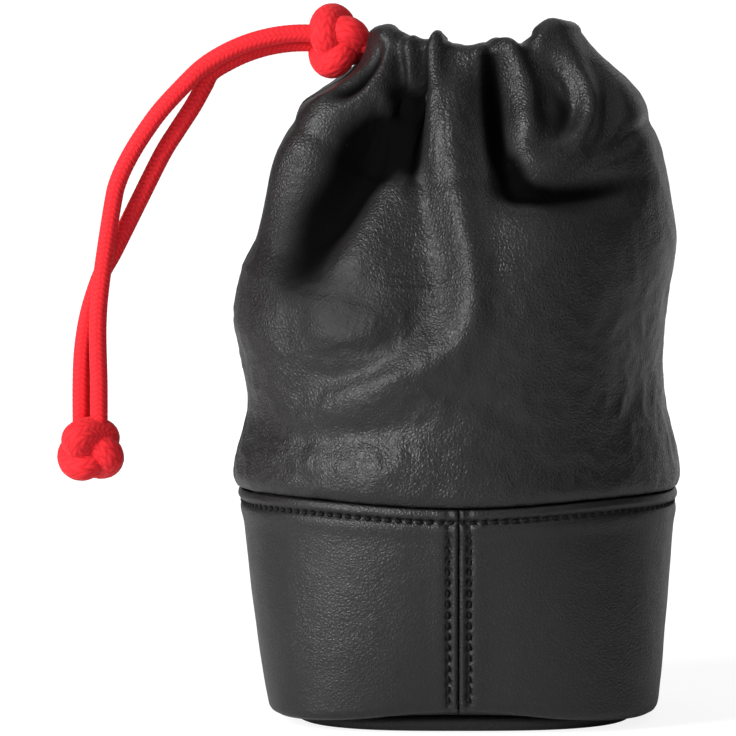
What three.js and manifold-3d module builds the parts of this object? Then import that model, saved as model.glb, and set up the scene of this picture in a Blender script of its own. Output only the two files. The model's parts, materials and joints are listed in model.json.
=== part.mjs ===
// Drawstring lens pouch in soft black leather: a padded band on a flat sole, a gathered upper in two
// panels, and a red cord that runs in the hem, leaves it at the left and ends in a knot.
// Millimetres, +Z up, the front faces -Y, the origin lies under the middle of the sole.
import * as THREE from "three";
import { mergeVertices } from "three/addons/utils/BufferGeometryUtils.js";
import ManifoldModule from "manifold-3d";

const wasm = await ManifoldModule();
wasm.setup();
const { Manifold, Mesh } = wasm;

// Materials by thickness, and the gaps between them
const BAND_LEATHER = 1.4;
const UPPER_LEATHER = 1.2;
const LINING = 0.7;
const WALL_FOAM = 3;
const BASE_FOAM = 3;
const BOARD = 1.5;
const LAYER_GAP = 0.3;
const LINING_GAP = 0.8;
const SEAM_GAP = 0.4;

// Sole
const SOLE_LEFT = 37;
const SOLE_RIGHT = 40;
const SOLE_HALF_DEPTH = 37;
const SOLE_THICKNESS = 3.4;
const SOLE_EDGE_ROUND = 1.6;
const SOLE_EDGE_BEVEL = 0.3;
const SOLE_SQUARENESS = 3;

// Band
const BAND_FOOT_LEFT = 41;
const BAND_FOOT_RIGHT = 45.2;
const BAND_FOOT_HALF_DEPTH = 41.5;
const BAND_TOP_HALF_WIDTH = 49;
const BAND_TOP_HALF_DEPTH = 46.5;
const BAND_HEIGHT = 47.2;
const BAND_FOOT_ROUND = 3;
const BAND_TURN_UNDER = 8;
const BAND_FOOT_SQUARENESS = 2.8;
const ROUND = 2;

// Upper, from the band's seam to the mouth
const UPPER_HEIGHT = 104.6;
const MOUTH_LEFT = 18;
const MOUTH_RIGHT = 26;
const MOUTH_HALF_DEPTH = 18;
const HEM_HEIGHT = 27;
const HEM_DEEP_SHARE = 0.58;
const HEM_CROWN = 0.7;
const HEM_CROWN_EDGE = 0.25;
const LIP_FOOT = 110;
const FOLD_Z = 121;
const FLAT_AT_SEAMS = [0.1, 0.45];

// Cord and knots
const CORD_DIAMETER = 4;
const CORD_CLEARANCE = 0.35;
const TUNNEL_CLEARANCE = 0.7;
const CORD_BELOW_MOUTH = 6;
const STRAND_GAP = 0.4;
const STRAND_END_GAP = 2.4;
const STRAND_RISE = 1.2;
const RUN_DEGS = [4, 150];
const EXIT_DEG = 5;
const BORE_EXTRA_DEG = 8;
const ARC_RADIUS = 36.5;
const ARC_START_DEG = -20.5;
const ARC_END_DEG = 36;
const SLIDE_KNOT_LENGTH = 13.4;
const SLIDE_KNOT_DIAMETER = 15.6;
const SLIDE_KNOT_TILT_DEG = 11.4;
const SLIDE_KNOT_BELOW_MOUTH = 4.7;
const SLIDE_KNOT_CLEARANCE = 0.1;
const END_KNOT_WIDTH = 15.6;
const END_KNOT_HEIGHT = 14;
const END_KNOT_GRIP = 4;
const KNOT_LOBES = 4;
const KNOT_LOBE_DEPTH = 0.55;

// Threads
const THREAD_DIAMETER = 0.8;
const THREAD_GAP = 0.15;
const EDGE_STITCH_INSET = 4;
const SEAM_STITCH_INSET = 2.9;
const SIDE_STITCH_INSET = 2.6;
const CASING_STITCH_DEG = 5;

// Steps round the pouch and along the cord
const BASE_STEPS = 44;
const BAND_STEPS = 28;
const BAND_LINING_STEPS = 36;
const EDGE_THREAD_STEPS = 48;
const PANEL_STEPS = 40;
const EXIT_STEPS = 2;
const UPPER_LINING_STEPS = 30;
const RUN_STEPS = 28;
const STRAND_STEPS = 34;
const CORD_SIDES = 8;
const SEAT_STEPS = 40;
const BORE_STEPS = 14;
const BORE_SIDES = 14;
const KNOT_STEPS = [22, 12];

// How far the upper's outline has drawn in from the seam (0) to the mouth (1), by share of its
// height: left side, right side, front and back
const UPPER_SHAPE = [
  [0, 0, 0, 0],
  [0.045, -0.032, -0.026, -0.028],
  [0.174, 0.061, 0.091, 0.018],
  [0.265, 0.019, 0.13, 0.011],
  [0.36, -0.042, 0.104, 0],
  [0.466, 0.019, 0.03, 0.042],
  [0.533, 0.123, -0.004, 0.123],
  [0.605, 0.184, 0.035, 0.228],
  [0.719, 0.261, 0.13, 0.439],
  [0.781, 0.355, 0.226, 0.579],
  [0.842, 0.471, 0.343, 0.719],
  [0.875, 0.732, 0.47, 0.807],
  [0.909, 0.939, 0.652, 0.895],
  [0.944, 0.974, 0.817, 0.954],
  [1, 1, 1, 1],
];

// Main folds of the gathered leather: a half width, then points on the fold's line, each with its
// degrees from the right, its height and how far it stands out. The front has negative degrees.
const FOLDS = [
  [4, [-153, 139, 0.6], [-157, 131, 2.2], [-157, 122, 2.4], [-160, 112, 2], [-165, 102, 1.2], [-163, 96, 0]],
  [4.6, [-136, 150, -0.6], [-135, 140, -2.6], [-138, 130, -3.6], [-140, 122, -2.6], [-144, 112, -1],
    [-149, 99, 0]],
  [5.2, [-91, 147, 0.2], [-96, 134, 2.6], [-95, 117, 2.8], [-92, 101, 2.4], [-92, 90, 1.8],
    [-103, 83, 1.4], [-130, 73, 0]],
  [3.4, [-65, 155, -2], [-70, 145, -2.8], [-73, 130, -3], [-70, 122, -1]],
  [2.6, [-58, 155, 1.4], [-54, 147, 1.8], [-57, 136, 1.4], [-58, 130, 0.2]],
  [3.6, [-44, 146, -0.8], [-47, 139, -2], [-51, 133, -0.8]],
  [3, [-25, 150, 0.6], [-31, 142, 1.6], [-36, 136, 1.4], [-44, 130, 0.4]],
  [3, [-73, 122, -0.8], [-58, 119, -1.6], [-42, 120, -1.6], [-26, 121, -0.2]],
  [2.6, [-113, 155, -1.6], [-111, 142, -1.8], [-110, 128, -0.4]],
  [2.6, [-146, 155, 1], [-140, 150, 1.4], [-136, 144, 0.6]],
  [4, [28, 156, 1], [31, 142, 1.6], [35, 124, 1.2], [39, 106, 0]],
  [3.6, [45, 156, -1.6], [46, 142, -2.2], [49, 126, -1.8], [52, 112, 0]],
  [4.4, [61, 156, 1.4], [62, 142, 2], [64, 122, 2], [66, 98, 0.8], [68, 82, 0]],
  [3.6, [77, 156, -1.8], [77, 142, -2.4], [78, 126, -1.8], [78, 112, 0]],
  [4.6, [92, 156, 1.4], [92, 142, 2], [92, 118, 2.2], [96, 92, 1.4], [104, 74, 0]],
  [3.6, [107, 156, -1.6], [108, 142, -2.4], [110, 124, -2], [113, 108, 0]],
  [4.4, [122, 156, 1.2], [124, 142, 1.8], [127, 124, 1.6], [131, 106, 0]],
  [3.6, [137, 154, -0.8], [139, 140, -1.8], [142, 124, -1.6], [146, 106, 0]],
  [4.4, [151, 148, 0.4], [153, 134, 1.4], [155, 118, 1.6], [158, 98, 0]],
];

// The lips' upper edge, by degrees from the right: how far it stands above the mouth's level
const LIP_EDGE = [
  [-180, 0],
  [-160, 0],
  [-132, -2.6],
  [-112, -2.2],
  [-92, -4.1],
  [-72, -3.2],
  [-55, -3.8],
  [-36, 0.6],
  [-15, 0.4],
  [0, 0],
  [20, -2],
  [50, -5.5],
  [90, -7],
  [130, -5.5],
  [160, -0.5],
  [180, 0],
];

// Free lengths of the two strands below the arc: across, towards the back, up, from the arc's centre
const OUTER_STRAND = [
  [-25.6, -2.1, 27.4],
  [-31.7, -2.2, 20.9],
  [-35.7, -2.2, 15.5],
  [-39.1, -2.3, 10],
  [-41.6, -2.3, 4.6],
  [-42.9, -2.3, -0.8],
  [-45.4, -2.3, -17.3],
  [-46.3, -2.2, -28],
  [-46.1, -1.8, -41.5],
];
const INNER_STRAND = [
  [-22.4, 2.1, 25.6],
  [-25, 2.2, 20.9],
  [-28.5, 2.2, 15.5],
  [-31.9, 2.2, 10],
  [-37.3, 2.3, -0.8],
  [-42.7, 2.3, -11.7],
  [-45.6, 2.3, -17.1],
  [-48.3, 2.2, -25.3],
  [-49.7, 2, -33.4],
  [-50.1, 1.6, -41.5],
];
const END_KNOT_BELOW = [-48, 0, -55.7];

// Levels and sizes that follow
const BAND_FOOT_Z = SOLE_THICKNESS + LAYER_GAP;
const SEAM_Z = BAND_FOOT_Z + BAND_HEIGHT;
const UPPER_FOOT_Z = SEAM_Z + SEAM_GAP;
const MOUTH_Z = UPPER_FOOT_Z + UPPER_HEIGHT;
const HEM_FOOT_Z = MOUTH_Z - HEM_HEIGHT;
const BOARD_Z = BAND_FOOT_Z + BAND_LEATHER + LAYER_GAP;
const BASE_FOAM_Z = BOARD_Z + BOARD + LAYER_GAP;
const BASE_LINING_Z = BASE_FOAM_Z + BASE_FOAM + LAYER_GAP;
const WALL_LAYERS_Z = BASE_LINING_Z + LINING + LAYER_GAP;
const CORD_RADIUS = CORD_DIAMETER / 2;
const THREAD_RADIUS = THREAD_DIAMETER / 2;
const THREAD_PROUD = THREAD_RADIUS + THREAD_GAP;
const STRAND_APART = Math.sqrt(((CORD_DIAMETER + STRAND_GAP) / 2) ** 2 - STRAND_RISE ** 2);
const CORD_DEPTH = UPPER_LEATHER + TUNNEL_CLEARANCE + CORD_RADIUS;
const TUNNEL_DEPTH = CORD_DEPTH + CORD_RADIUS + TUNNEL_CLEARANCE;
const HEM_FOOT_DEPTH = UPPER_LEATHER + LINING_GAP;
const radians = THREE.MathUtils.degToRad;

// Surfaces

// A rounded outline about the axis, at one angle; a squareness of 2 is an ellipse
function outline(angle, left, right, depth, squareness) {
  const c = Math.cos(angle);
  const s = Math.sin(angle);
  const across = Math.abs(c / (c < 0 ? left : right)) ** squareness;
  const along = Math.abs(s / depth) ** squareness;
  const reach = (across + along) ** (-1 / squareness);
  return [reach * c, reach * s];
}

// The band's wall at a height, set in by a depth
function bandPoint(angle, z, inset) {
  const share = THREE.MathUtils.clamp((z - BAND_FOOT_Z) / BAND_HEIGHT, 0, 1);
  const left = THREE.MathUtils.lerp(BAND_FOOT_LEFT, BAND_TOP_HALF_WIDTH, share) - inset;
  const right = THREE.MathUtils.lerp(BAND_FOOT_RIGHT, BAND_TOP_HALF_WIDTH, share) - inset;
  const depth = THREE.MathUtils.lerp(BAND_FOOT_HALF_DEPTH, BAND_TOP_HALF_DEPTH, share) - inset;
  const squareness = THREE.MathUtils.lerp(BAND_FOOT_SQUARENESS, ROUND, share);
  return new THREE.Vector3(...outline(angle, left, right, depth, squareness), z);
}

// A smooth curve through one column of the upper's shape
function drawnIn(share, column) {
  const last = UPPER_SHAPE.length - 1;
  let i = 0;
  while (i < last - 1 && UPPER_SHAPE[i + 1][0] < share) i += 1;
  const slope = (k) => {
    const before = UPPER_SHAPE[Math.max(k - 1, 0)];
    const after = UPPER_SHAPE[Math.min(k + 1, last)];
    return (after[column] - before[column]) / (after[0] - before[0]);
  };
  const [from, to] = [UPPER_SHAPE[i], UPPER_SHAPE[i + 1]];
  const span = to[0] - from[0];
  const t = (share - from[0]) / span;
  if (t > 1) return to[column] + slope(i + 1) * (share - to[0]);
  const a = from[column];
  const b = to[column];
  const ma = slope(i) * span;
  const mb = slope(i + 1) * span;
  return a + ma * t + (3 * (b - a) - 2 * ma - mb) * t ** 2 + (2 * (a - b) + ma + mb) * t ** 3;
}

function upperSizes(z) {
  const share = (z - UPPER_FOOT_Z) / UPPER_HEIGHT;
  const { lerp } = THREE.MathUtils;
  return {
    left: lerp(BAND_TOP_HALF_WIDTH, MOUTH_LEFT, drawnIn(share, 1)),
    right: lerp(BAND_TOP_HALF_WIDTH, MOUTH_RIGHT, drawnIn(share, 2)),
    depth: lerp(BAND_TOP_HALF_DEPTH, MOUTH_HALF_DEPTH, drawnIn(share, 3)),
  };
}

function upperSurface(angle, z) {
  const { left, right, depth } = upperSizes(z);
  return new THREE.Vector3(...outline(angle, left, right, depth, ROUND), z);
}

// The upper at an angle and height, set in by a depth square to its surface
function upperPoint(angle, z, inset) {
  const step = 0.01;
  const round = upperSurface(angle + step, z).sub(upperSurface(angle - step, z));
  const rise = upperSurface(angle, z + step).sub(upperSurface(angle, z - step));
  const out = round.cross(rise).normalize();
  return upperSurface(angle, z).addScaledVector(out, -inset);
}

// How far the folds stand out at an angle and height, nothing at the side seams
function fold(angle, z) {
  const { clamp, lerp, smoothstep } = THREE.MathUtils;
  const reach = upperSurface(angle, z).setZ(0).length();
  const here = new THREE.Vector2(reach * angle, z);
  let rise = 0;
  for (const [width, ...points] of FOLDS) {
    const line = points.map(([deg, height, out]) => [new THREE.Vector2(reach * radians(deg), height), out]);
    let nearest = { away: Infinity };
    line.slice(1).forEach(([end, endOut], k) => {
      const [start, startOut] = line[k];
      const along = end.clone().sub(start);
      const share = clamp(here.clone().sub(start).dot(along) / along.lengthSq(), 0, 1);
      const away = here.distanceTo(start.clone().addScaledVector(along, share));
      if (away < nearest.away) nearest = { away, out: lerp(startOut, endOut, share) };
    });
    rise += nearest.out * Math.exp(-0.5 * (nearest.away / width) ** 2);
  }
  return rise * smoothstep(Math.abs(Math.sin(angle)), ...FLAT_AT_SEAMS);
}

// How far the lips' edge is above the mouth's level at an angle, and less so further down
function lift(angle, z) {
  const { lerp, radToDeg, smoothstep } = THREE.MathUtils;
  const deg = radToDeg(angle);
  const next = Math.max(LIP_EDGE.findIndex(([key]) => key > deg), 1);
  const [from, to] = [LIP_EDGE[next - 1], LIP_EDGE[next]];
  const rise = lerp(from[1], to[1], smoothstep(deg, from[0], to[0]));
  return rise * smoothstep(z, LIP_FOOT, MOUTH_Z);
}

// Gathers a body of the upper: it follows the folds and the lips' edge
function gathered(geometry) {
  const at = geometry.getAttribute("position");
  for (let i = 0; i < at.count; i += 1) {
    const [x, y, z] = [at.getX(i), at.getY(i), at.getZ(i)];
    const angle = Math.atan2(y, x);
    const out = fold(angle, z) / Math.hypot(x, y);
    at.setXYZ(i, x + x * out, y + y * out, z + lift(angle, z));
  }
  return geometry;
}

// Solids

function indexed(points, triangles) {
  const geometry = new THREE.BufferGeometry().setFromPoints(points);
  let volume = 0;
  for (const [a, b, c] of triangles) {
    volume += points[a].dot(points[b].clone().cross(points[c]));
  }
  geometry.setIndex(triangles.flatMap(([a, b, c]) => (volume > 0 ? [a, b, c] : [a, c, b])));
  return geometry;
}

// The end of a body: part of a ring, closed off by its flat layout
function cap(flat, loop, base, start) {
  const shape = loop.map((k) => flat[k]);
  const turn = Math.sign(THREE.ShapeUtils.area(shape));
  return THREE.ShapeUtils.triangulateShape(shape, []).map(([a, b, c]) => {
    const same = Math.sign(THREE.ShapeUtils.area([shape[a], shape[b], shape[c]])) === turn;
    const order = same === start ? [a, c, b] : [a, b, c];
    return order.map((k) => base + loop[k]);
  });
}

// A closed body from rings of points. Flat layouts of its rings cap its ends; without them the last
// ring joins the first. Its first bands can use only the points of a shorter loop.
function skin(rings, flats, shortBands = 0, shortLoop = []) {
  const count = rings[0].length;
  const whole = [...rings[0].keys()];
  const triangles = [];
  const bands = flats ? rings.length - 1 : rings.length;
  for (let i = 0; i < bands; i += 1) {
    const loop = i < shortBands ? shortLoop : whole;
    const here = i * count;
    const next = ((i + 1) % rings.length) * count;
    loop.forEach((k, n) => {
      const l = loop[(n + 1) % loop.length];
      triangles.push([here + k, here + l, next + k], [here + l, next + l, next + k]);
    });
  }
  if (flats) {
    const last = rings.length - 1;
    triangles.push(...cap(flats[0], shortBands ? shortLoop : whole, 0, true));
    triangles.push(...cap(flats[last], whole, last * count, false));
  }
  if (shortBands) {
    const step = shortLoop.findIndex((k, n) => k !== n);
    const rest = whole.slice(step - 1, shortLoop[step] + 1);
    triangles.push(...cap(flats[shortBands], rest, shortBands * count, true));
  }
  const used = [...new Set(triangles.flat())];
  const place = new Map(used.map((k, n) => [k, n]));
  const points = rings.flat();
  return indexed(used.map((k) => points[k]), triangles.map((t) => t.map((k) => place.get(k))));
}

function spread(from, to, steps) {
  return Array.from({ length: steps + 1 }, (_, i) => THREE.MathUtils.lerp(from, to, i / steps));
}

// A wall swept through a list of angles, its section given as pairs of height and inset
function sweep(pointAt, sectionAt, angles, whole, ...short) {
  const rings = angles.map((angle) => sectionAt(angle).map(([z, inset]) => pointAt(angle, z, inset)));
  const flats = rings.map((ring) => ring.map(({ x, y, z }) => new THREE.Vector2(Math.hypot(x, y), z)));
  return skin(rings, whole ? null : flats, ...short);
}

function wall(pointAt, sectionAt, fromDeg, toDeg, steps) {
  const whole = toDeg - fromDeg === 360;
  const angles = spread(radians(fromDeg), radians(toDeg), steps);
  return sweep(pointAt, sectionAt, whole ? angles.slice(1) : angles, whole);
}

// A solid disc whose edge is given as pairs of height and reach
function disc(edgeAt, levels, steps) {
  const angles = spread(0, 2 * Math.PI, steps).slice(0, -1);
  const points = levels.flatMap((level) => angles.map((angle) => edgeAt(angle, level)));
  const low = points.push(new THREE.Vector3(0, 0, points[0].z)) - 1;
  const high = points.push(new THREE.Vector3(0, 0, points[low - 1].z)) - 1;
  const top = (levels.length - 1) * steps;
  const triangles = [];
  for (let k = 0; k < steps; k += 1) {
    const l = (k + 1) % steps;
    triangles.push([low, l, k], [high, top + k, top + l]);
    for (let i = 0; i < top; i += steps) {
      triangles.push([i + k, i + l, i + steps + k], [i + l, i + steps + l, i + steps + k]);
    }
  }
  return indexed(points, triangles);
}

function roundShape(radius, sides) {
  const turns = spread(0, 2 * Math.PI, sides).slice(0, -1);
  const edge = turns.map((turn) => new THREE.Vector2(Math.cos(turn), Math.sin(turn)).multiplyScalar(radius));
  return new THREE.Shape(edge);
}

function tube(points, radius, sides, steps) {
  const path = new THREE.CatmullRomCurve3(points, false, "centripetal");
  const options = { steps, bevelEnabled: false, extrudePath: path };
  return new THREE.ExtrudeGeometry(roundShape(radius, sides), options);
}

function welded(geometry) {
  const bare = new THREE.BufferGeometry();
  bare.setAttribute("position", geometry.getAttribute("position"));
  if (geometry.index) bare.setIndex(geometry.index);
  return mergeVertices(bare, 1e-4);
}

function asManifold(geometry) {
  const { index, attributes } = welded(geometry);
  const vertProperties = new Float32Array(attributes.position.array);
  return new Manifold(new Mesh({ numProp: 3, vertProperties, triVerts: new Uint32Array(index.array) }));
}

function cut(geometry, ...tools) {
  const left = tools.reduce((solid, tool) => solid.subtract(asManifold(tool)), asManifold(geometry));
  const mesh = left.getMesh();
  const result = new THREE.BufferGeometry();
  result.setAttribute("position", new THREE.BufferAttribute(mesh.vertProperties, 3));
  result.setIndex(new THREE.BufferAttribute(mesh.triVerts, 1));
  return result;
}

// A ball with woven lobes, its poles on the axis of the cord
function knotBall(length, diameter) {
  const ball = welded(new THREE.SphereGeometry(1, ...KNOT_STEPS)).rotateZ(Math.PI / 2);
  const at = ball.getAttribute("position");
  const p = new THREE.Vector3();
  for (let i = 0; i < at.count; i += 1) {
    p.fromBufferAttribute(at, i);
    const round = Math.atan2(p.z, p.y);
    const along = Math.acos(THREE.MathUtils.clamp(p.x, -1, 1));
    const weave = Math.cos(KNOT_LOBES * round) * Math.sin(2 * along) * Math.sin(along);
    const scale = 1 - (KNOT_LOBE_DEPTH * (1 - weave)) / diameter;
    at.setXYZ(i, (p.x * scale * length) / 2, (p.y * scale * diameter) / 2, (p.z * scale * diameter) / 2);
  }
  return ball;
}

// Places on the cord

// The slide knot sits as near the upper's left shoulder as its clearance lets it; the shoulder rises
// past the knot when the lips open, which makes the knot in effect a little taller
const slideKnot = { z: MOUTH_Z - SLIDE_KNOT_BELOW_MOUTH };
const knotRoom = SLIDE_KNOT_DIAMETER / 2 - KNOT_LOBE_DEPTH + SLIDE_KNOT_CLEARANCE;
const knotTaller = Math.hypot(1, BAND_TOP_HALF_DEPTH / (slideKnot.z - UPPER_FOOT_Z));
slideKnot.x = Math.min(
  ...spread(-knotRoom, knotRoom, SEAT_STEPS).map((up) => {
    const { left } = upperSizes(Math.min(slideKnot.z + up * knotTaller, MOUTH_Z));
    return -left - Math.sqrt(knotRoom ** 2 - up ** 2);
  }),
);
const arcCentre = new THREE.Vector3(
  slideKnot.x - ARC_RADIUS * Math.sin(radians(SLIDE_KNOT_TILT_DEG)),
  0,
  slideKnot.z - ARC_RADIUS * Math.cos(radians(SLIDE_KNOT_TILT_DEG)),
);

// A point of the outer (1) or inner (-1) strand on the arc, by its angle to the left of the top
function arcPoint(deg, side) {
  const radius = ARC_RADIUS + side * STRAND_RISE;
  const across = -Math.sin(radians(deg)) * radius;
  const up = Math.cos(radians(deg)) * radius;
  return arcCentre.clone().add(new THREE.Vector3(across, -side * STRAND_APART, up));
}

function strandPoints(side, below) {
  const arc = spread(ARC_START_DEG, ARC_END_DEG, 9).map((deg) => arcPoint(deg, side));
  const free = below.map((p) => arcCentre.clone().add(new THREE.Vector3(...p)));
  const last = free.at(-1).clone();
  last.z = arcCentre.z + END_KNOT_BELOW[2] + END_KNOT_HEIGHT / 2 - END_KNOT_GRIP;
  return [...arc, ...free, last];
}

// Model

const leather = new THREE.MeshStandardMaterial({ color: 0x1d1d1f, roughness: 0.52, metalness: 0 });
const cloth = new THREE.MeshStandardMaterial({ color: 0x2b2b2e, roughness: 0.9, metalness: 0 });
const foam = new THREE.MeshStandardMaterial({ color: 0x4a4a4c, roughness: 1, metalness: 0 });
const board = new THREE.MeshStandardMaterial({ color: 0x6b6257, roughness: 0.9, metalness: 0 });
const thread = new THREE.MeshStandardMaterial({ color: 0x121213, roughness: 0.7, metalness: 0 });
const braid = new THREE.MeshStandardMaterial({ color: 0xd6202c, roughness: 0.75, metalness: 0 });

const pouch = new THREE.Group();
pouch.name = "lens_pouch";

function add(name, geometry, material, shift = [0, 0, 0]) {
  const mesh = new THREE.Mesh(geometry, material);
  mesh.name = name;
  mesh.position.set(...shift);
  pouch.add(mesh);
}

// Sole and the layers on it
const soleLevels = [
  [0, SOLE_EDGE_ROUND],
  [SOLE_EDGE_ROUND * SOLE_EDGE_BEVEL, SOLE_EDGE_ROUND * SOLE_EDGE_BEVEL],
  [SOLE_EDGE_ROUND, 0],
  [SOLE_THICKNESS, 0],
];
const solePoint = (angle, [z, inset]) => {
  const [left, right, depth] = [SOLE_LEFT, SOLE_RIGHT, SOLE_HALF_DEPTH].map((reach) => reach - inset);
  return new THREE.Vector3(...outline(angle, left, right, depth, SOLE_SQUARENESS), z);
};
add("base_sole", disc(solePoint, soleLevels, BASE_STEPS), leather);

function baseLayer(z, thickness) {
  const inset = Math.max(BAND_LEATHER, BAND_FOOT_ROUND) + LAYER_GAP;
  const edge = (angle, level) => bandPoint(angle, z, inset).setZ(level);
  return disc(edge, [z, z + thickness], BASE_STEPS);
}
add("base_stiffener", baseLayer(BOARD_Z, BOARD), board);
add("base_foam", baseLayer(BASE_FOAM_Z, BASE_FOAM), foam);
add("base_lining", baseLayer(BASE_LINING_Z, LINING), cloth);

// Band: two panels that meet at the front and the back, the lower edge turned under onto the sole
const bend = BAND_FOOT_ROUND * (1 - Math.SQRT1_2);
const bandLevels = [SEAM_Z, ...spread(SEAM_Z - EDGE_STITCH_INSET, BAND_FOOT_Z + BAND_FOOT_ROUND, 3)];
const bandSection = () => [
  ...bandLevels.map((z) => [z, 0]),
  [BAND_FOOT_Z + bend, bend],
  [BAND_FOOT_Z, BAND_FOOT_ROUND],
  [BAND_FOOT_Z, BAND_TURN_UNDER],
  [BAND_FOOT_Z + BAND_LEATHER, BAND_TURN_UNDER],
  [BAND_FOOT_Z + BAND_LEATHER, BAND_FOOT_ROUND],
  ...bandLevels.toReversed().map((z) => [z, BAND_LEATHER]),
];
const foamInset = BAND_LEATHER + LAYER_GAP;
const liningInset = foamInset + WALL_FOAM + LAYER_GAP;
const wallSection = (top, inset, thickness) => () => {
  const levels = spread(top, WALL_LAYERS_Z, 4);
  const outside = levels.map((z) => [z, inset]);
  return [...outside, ...levels.toReversed().map((z) => [z, inset + thickness])];
};
const foamSection = wallSection(SEAM_Z - SEAM_GAP, foamInset, WALL_FOAM);
const halfSeamDeg = THREE.MathUtils.radToDeg(Math.atan(SEAM_GAP / 2 / BAND_FOOT_HALF_DEPTH));
for (const [side, middle] of [["left", 180], ["right", 0]]) {
  const ends = [middle - 90 + halfSeamDeg, middle + 90 - halfSeamDeg];
  add(`band_${side}_panel`, wall(bandPoint, bandSection, ...ends, BAND_STEPS), leather);
  add(`band_${side}_foam`, wall(bandPoint, foamSection, ...ends, BAND_STEPS), foam);
}
const bandLining = wall(bandPoint, wallSection(SEAM_Z, liningInset, LINING), 0, 360, BAND_LINING_STEPS);
add("band_lining", bandLining, cloth);

// Threads on the band: one row round its upper edge, two down each of its seams
const threadSection = (z, inset) => [
  [z + THREAD_RADIUS, inset],
  [z, inset - THREAD_RADIUS],
  [z - THREAD_RADIUS, inset],
  [z, inset + THREAD_RADIUS],
];
const edgeThread = () => threadSection(SEAM_Z - EDGE_STITCH_INSET, -THREAD_PROUD);
add("band_edge_stitching", wall(bandPoint, edgeThread, 0, 360, EDGE_THREAD_STEPS), thread);

// A thread that runs up a wall, a set distance to one side of a seam
function uprightThread(pointAt, seamDeg, aside, levels) {
  const rings = levels.map((z) => {
    const reach = pointAt(radians(seamDeg), z, 0).setZ(0).length();
    const angle = radians(seamDeg) + Math.atan(aside / reach);
    const half = Math.atan(THREAD_RADIUS / reach);
    return [
      pointAt(angle - half, z, -THREAD_PROUD),
      pointAt(angle, z, -THREAD_PROUD - THREAD_RADIUS),
      pointAt(angle + half, z, -THREAD_PROUD),
      pointAt(angle, z, -THREAD_PROUD + THREAD_RADIUS),
    ];
  });
  const diamond = [[-1, 0], [0, -1], [1, 0], [0, 1]].map((corner) => new THREE.Vector2(...corner));
  return skin(rings, levels.map(() => diamond));
}
const seamTop = SEAM_Z - EDGE_STITCH_INSET - THREAD_DIAMETER - THREAD_GAP;
const seamLevels = [seamTop, ...bandLevels.filter((z) => z < seamTop)];
for (const [face, deg, right] of [["front", -90, 1], ["back", 90, -1]]) {
  for (const [side, aside] of [["left", -right], ["right", right]]) {
    const geometry = uprightThread(bandPoint, deg, aside * SEAM_STITCH_INSET, seamLevels);
    add(`${face}_seam_stitching_${side}`, geometry, thread);
  }
}

// Upper: two panels that meet at the sides, each with its top folded in to a hem for the cord
function hemDepth(z) {
  const share = THREE.MathUtils.smoothstep(z, HEM_FOOT_Z, MOUTH_Z - HEM_HEIGHT * HEM_DEEP_SHARE);
  return THREE.MathUtils.lerp(HEM_FOOT_DEPTH, TUNNEL_DEPTH, share);
}
// At the left the hem stops short of the seam, above this level, to let the two strands out
const exitFoot = arcPoint(ARC_START_DEG - EXIT_DEG, -1).z - CORD_RADIUS - CORD_CLEARANCE * 3;
const exitHalf = STRAND_APART + CORD_RADIUS + CORD_CLEARANCE;
const shapeLevels = UPPER_SHAPE.map(([share]) => UPPER_FOOT_Z + share * UPPER_HEIGHT);
const casingZ = HEM_FOOT_Z + THREAD_DIAMETER;
const wallLevels = [...shapeLevels, FOLD_Z, casingZ, exitFoot].sort((a, b) => a - b);
const hemLevels = spread(HEM_FOOT_Z, MOUTH_Z - UPPER_LEATHER, 4);
const hemWidth = TUNNEL_DEPTH + UPPER_LEATHER;
const panelSection = () => [
  ...wallLevels.map((z) => [z, 0]),
  [MOUTH_Z + UPPER_LEATHER * HEM_CROWN, hemWidth * HEM_CROWN_EDGE],
  [MOUTH_Z + UPPER_LEATHER * HEM_CROWN, hemWidth * (1 - HEM_CROWN_EDGE)],
  ...hemLevels.toReversed().map((z) => [z, hemDepth(z) + UPPER_LEATHER]),
  ...hemLevels.map((z) => [z, hemDepth(z)]),
  [MOUTH_Z - UPPER_LEATHER, UPPER_LEATHER],
  ...wallLevels.slice(0, -1).toReversed().map((z) => [z, UPPER_LEATHER]),
];
const liningLevels = wallLevels.filter((z) => z < HEM_FOOT_Z - LINING);
const upperLiningInset = UPPER_LEATHER + LINING_GAP;
const upperLiningSection = () => [
  ...liningLevels.map((z) => [z, upperLiningInset]),
  ...liningLevels.toReversed().map((z) => [z, upperLiningInset + LINING]),
];
const casingThread = () => threadSection(casingZ, -THREAD_PROUD);

const openDeg = THREE.MathUtils.radToDeg(Math.asin(exitHalf / MOUTH_LEFT));
const open = spread(180, 180 - openDeg, EXIT_STEPS);
const closed = spread(180 - openDeg, 0, PANEL_STEPS).slice(1);

function upperPanel(turn) {
  const angles = [...open, ...closed].map((deg) => turn * radians(deg));
  const low = wallLevels.filter((z) => z <= exitFoot).length;
  const count = panelSection(0).length;
  const shortLoop = [...Array(count).keys()].filter((k) => k < low || k >= count - low);
  return sweep(upperPoint, panelSection, angles, false, open.length - 1, shortLoop);
}

// One run of the cord through the hem, out at its end and up to the free strand
function runPoints(face, side) {
  const seat = (deg) => upperPoint(radians(deg), MOUTH_Z - CORD_BELOW_MOUTH, CORD_DEPTH);
  const hidden = spread(...RUN_DEGS, 12).map((deg) => seat(face * deg));
  const end = ARC_START_DEG - THREE.MathUtils.radToDeg(STRAND_END_GAP / ARC_RADIUS);
  const out = [end - EXIT_DEG, end].map((deg) => arcPoint(deg, side));
  return [...hidden, ...out];
}

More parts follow.
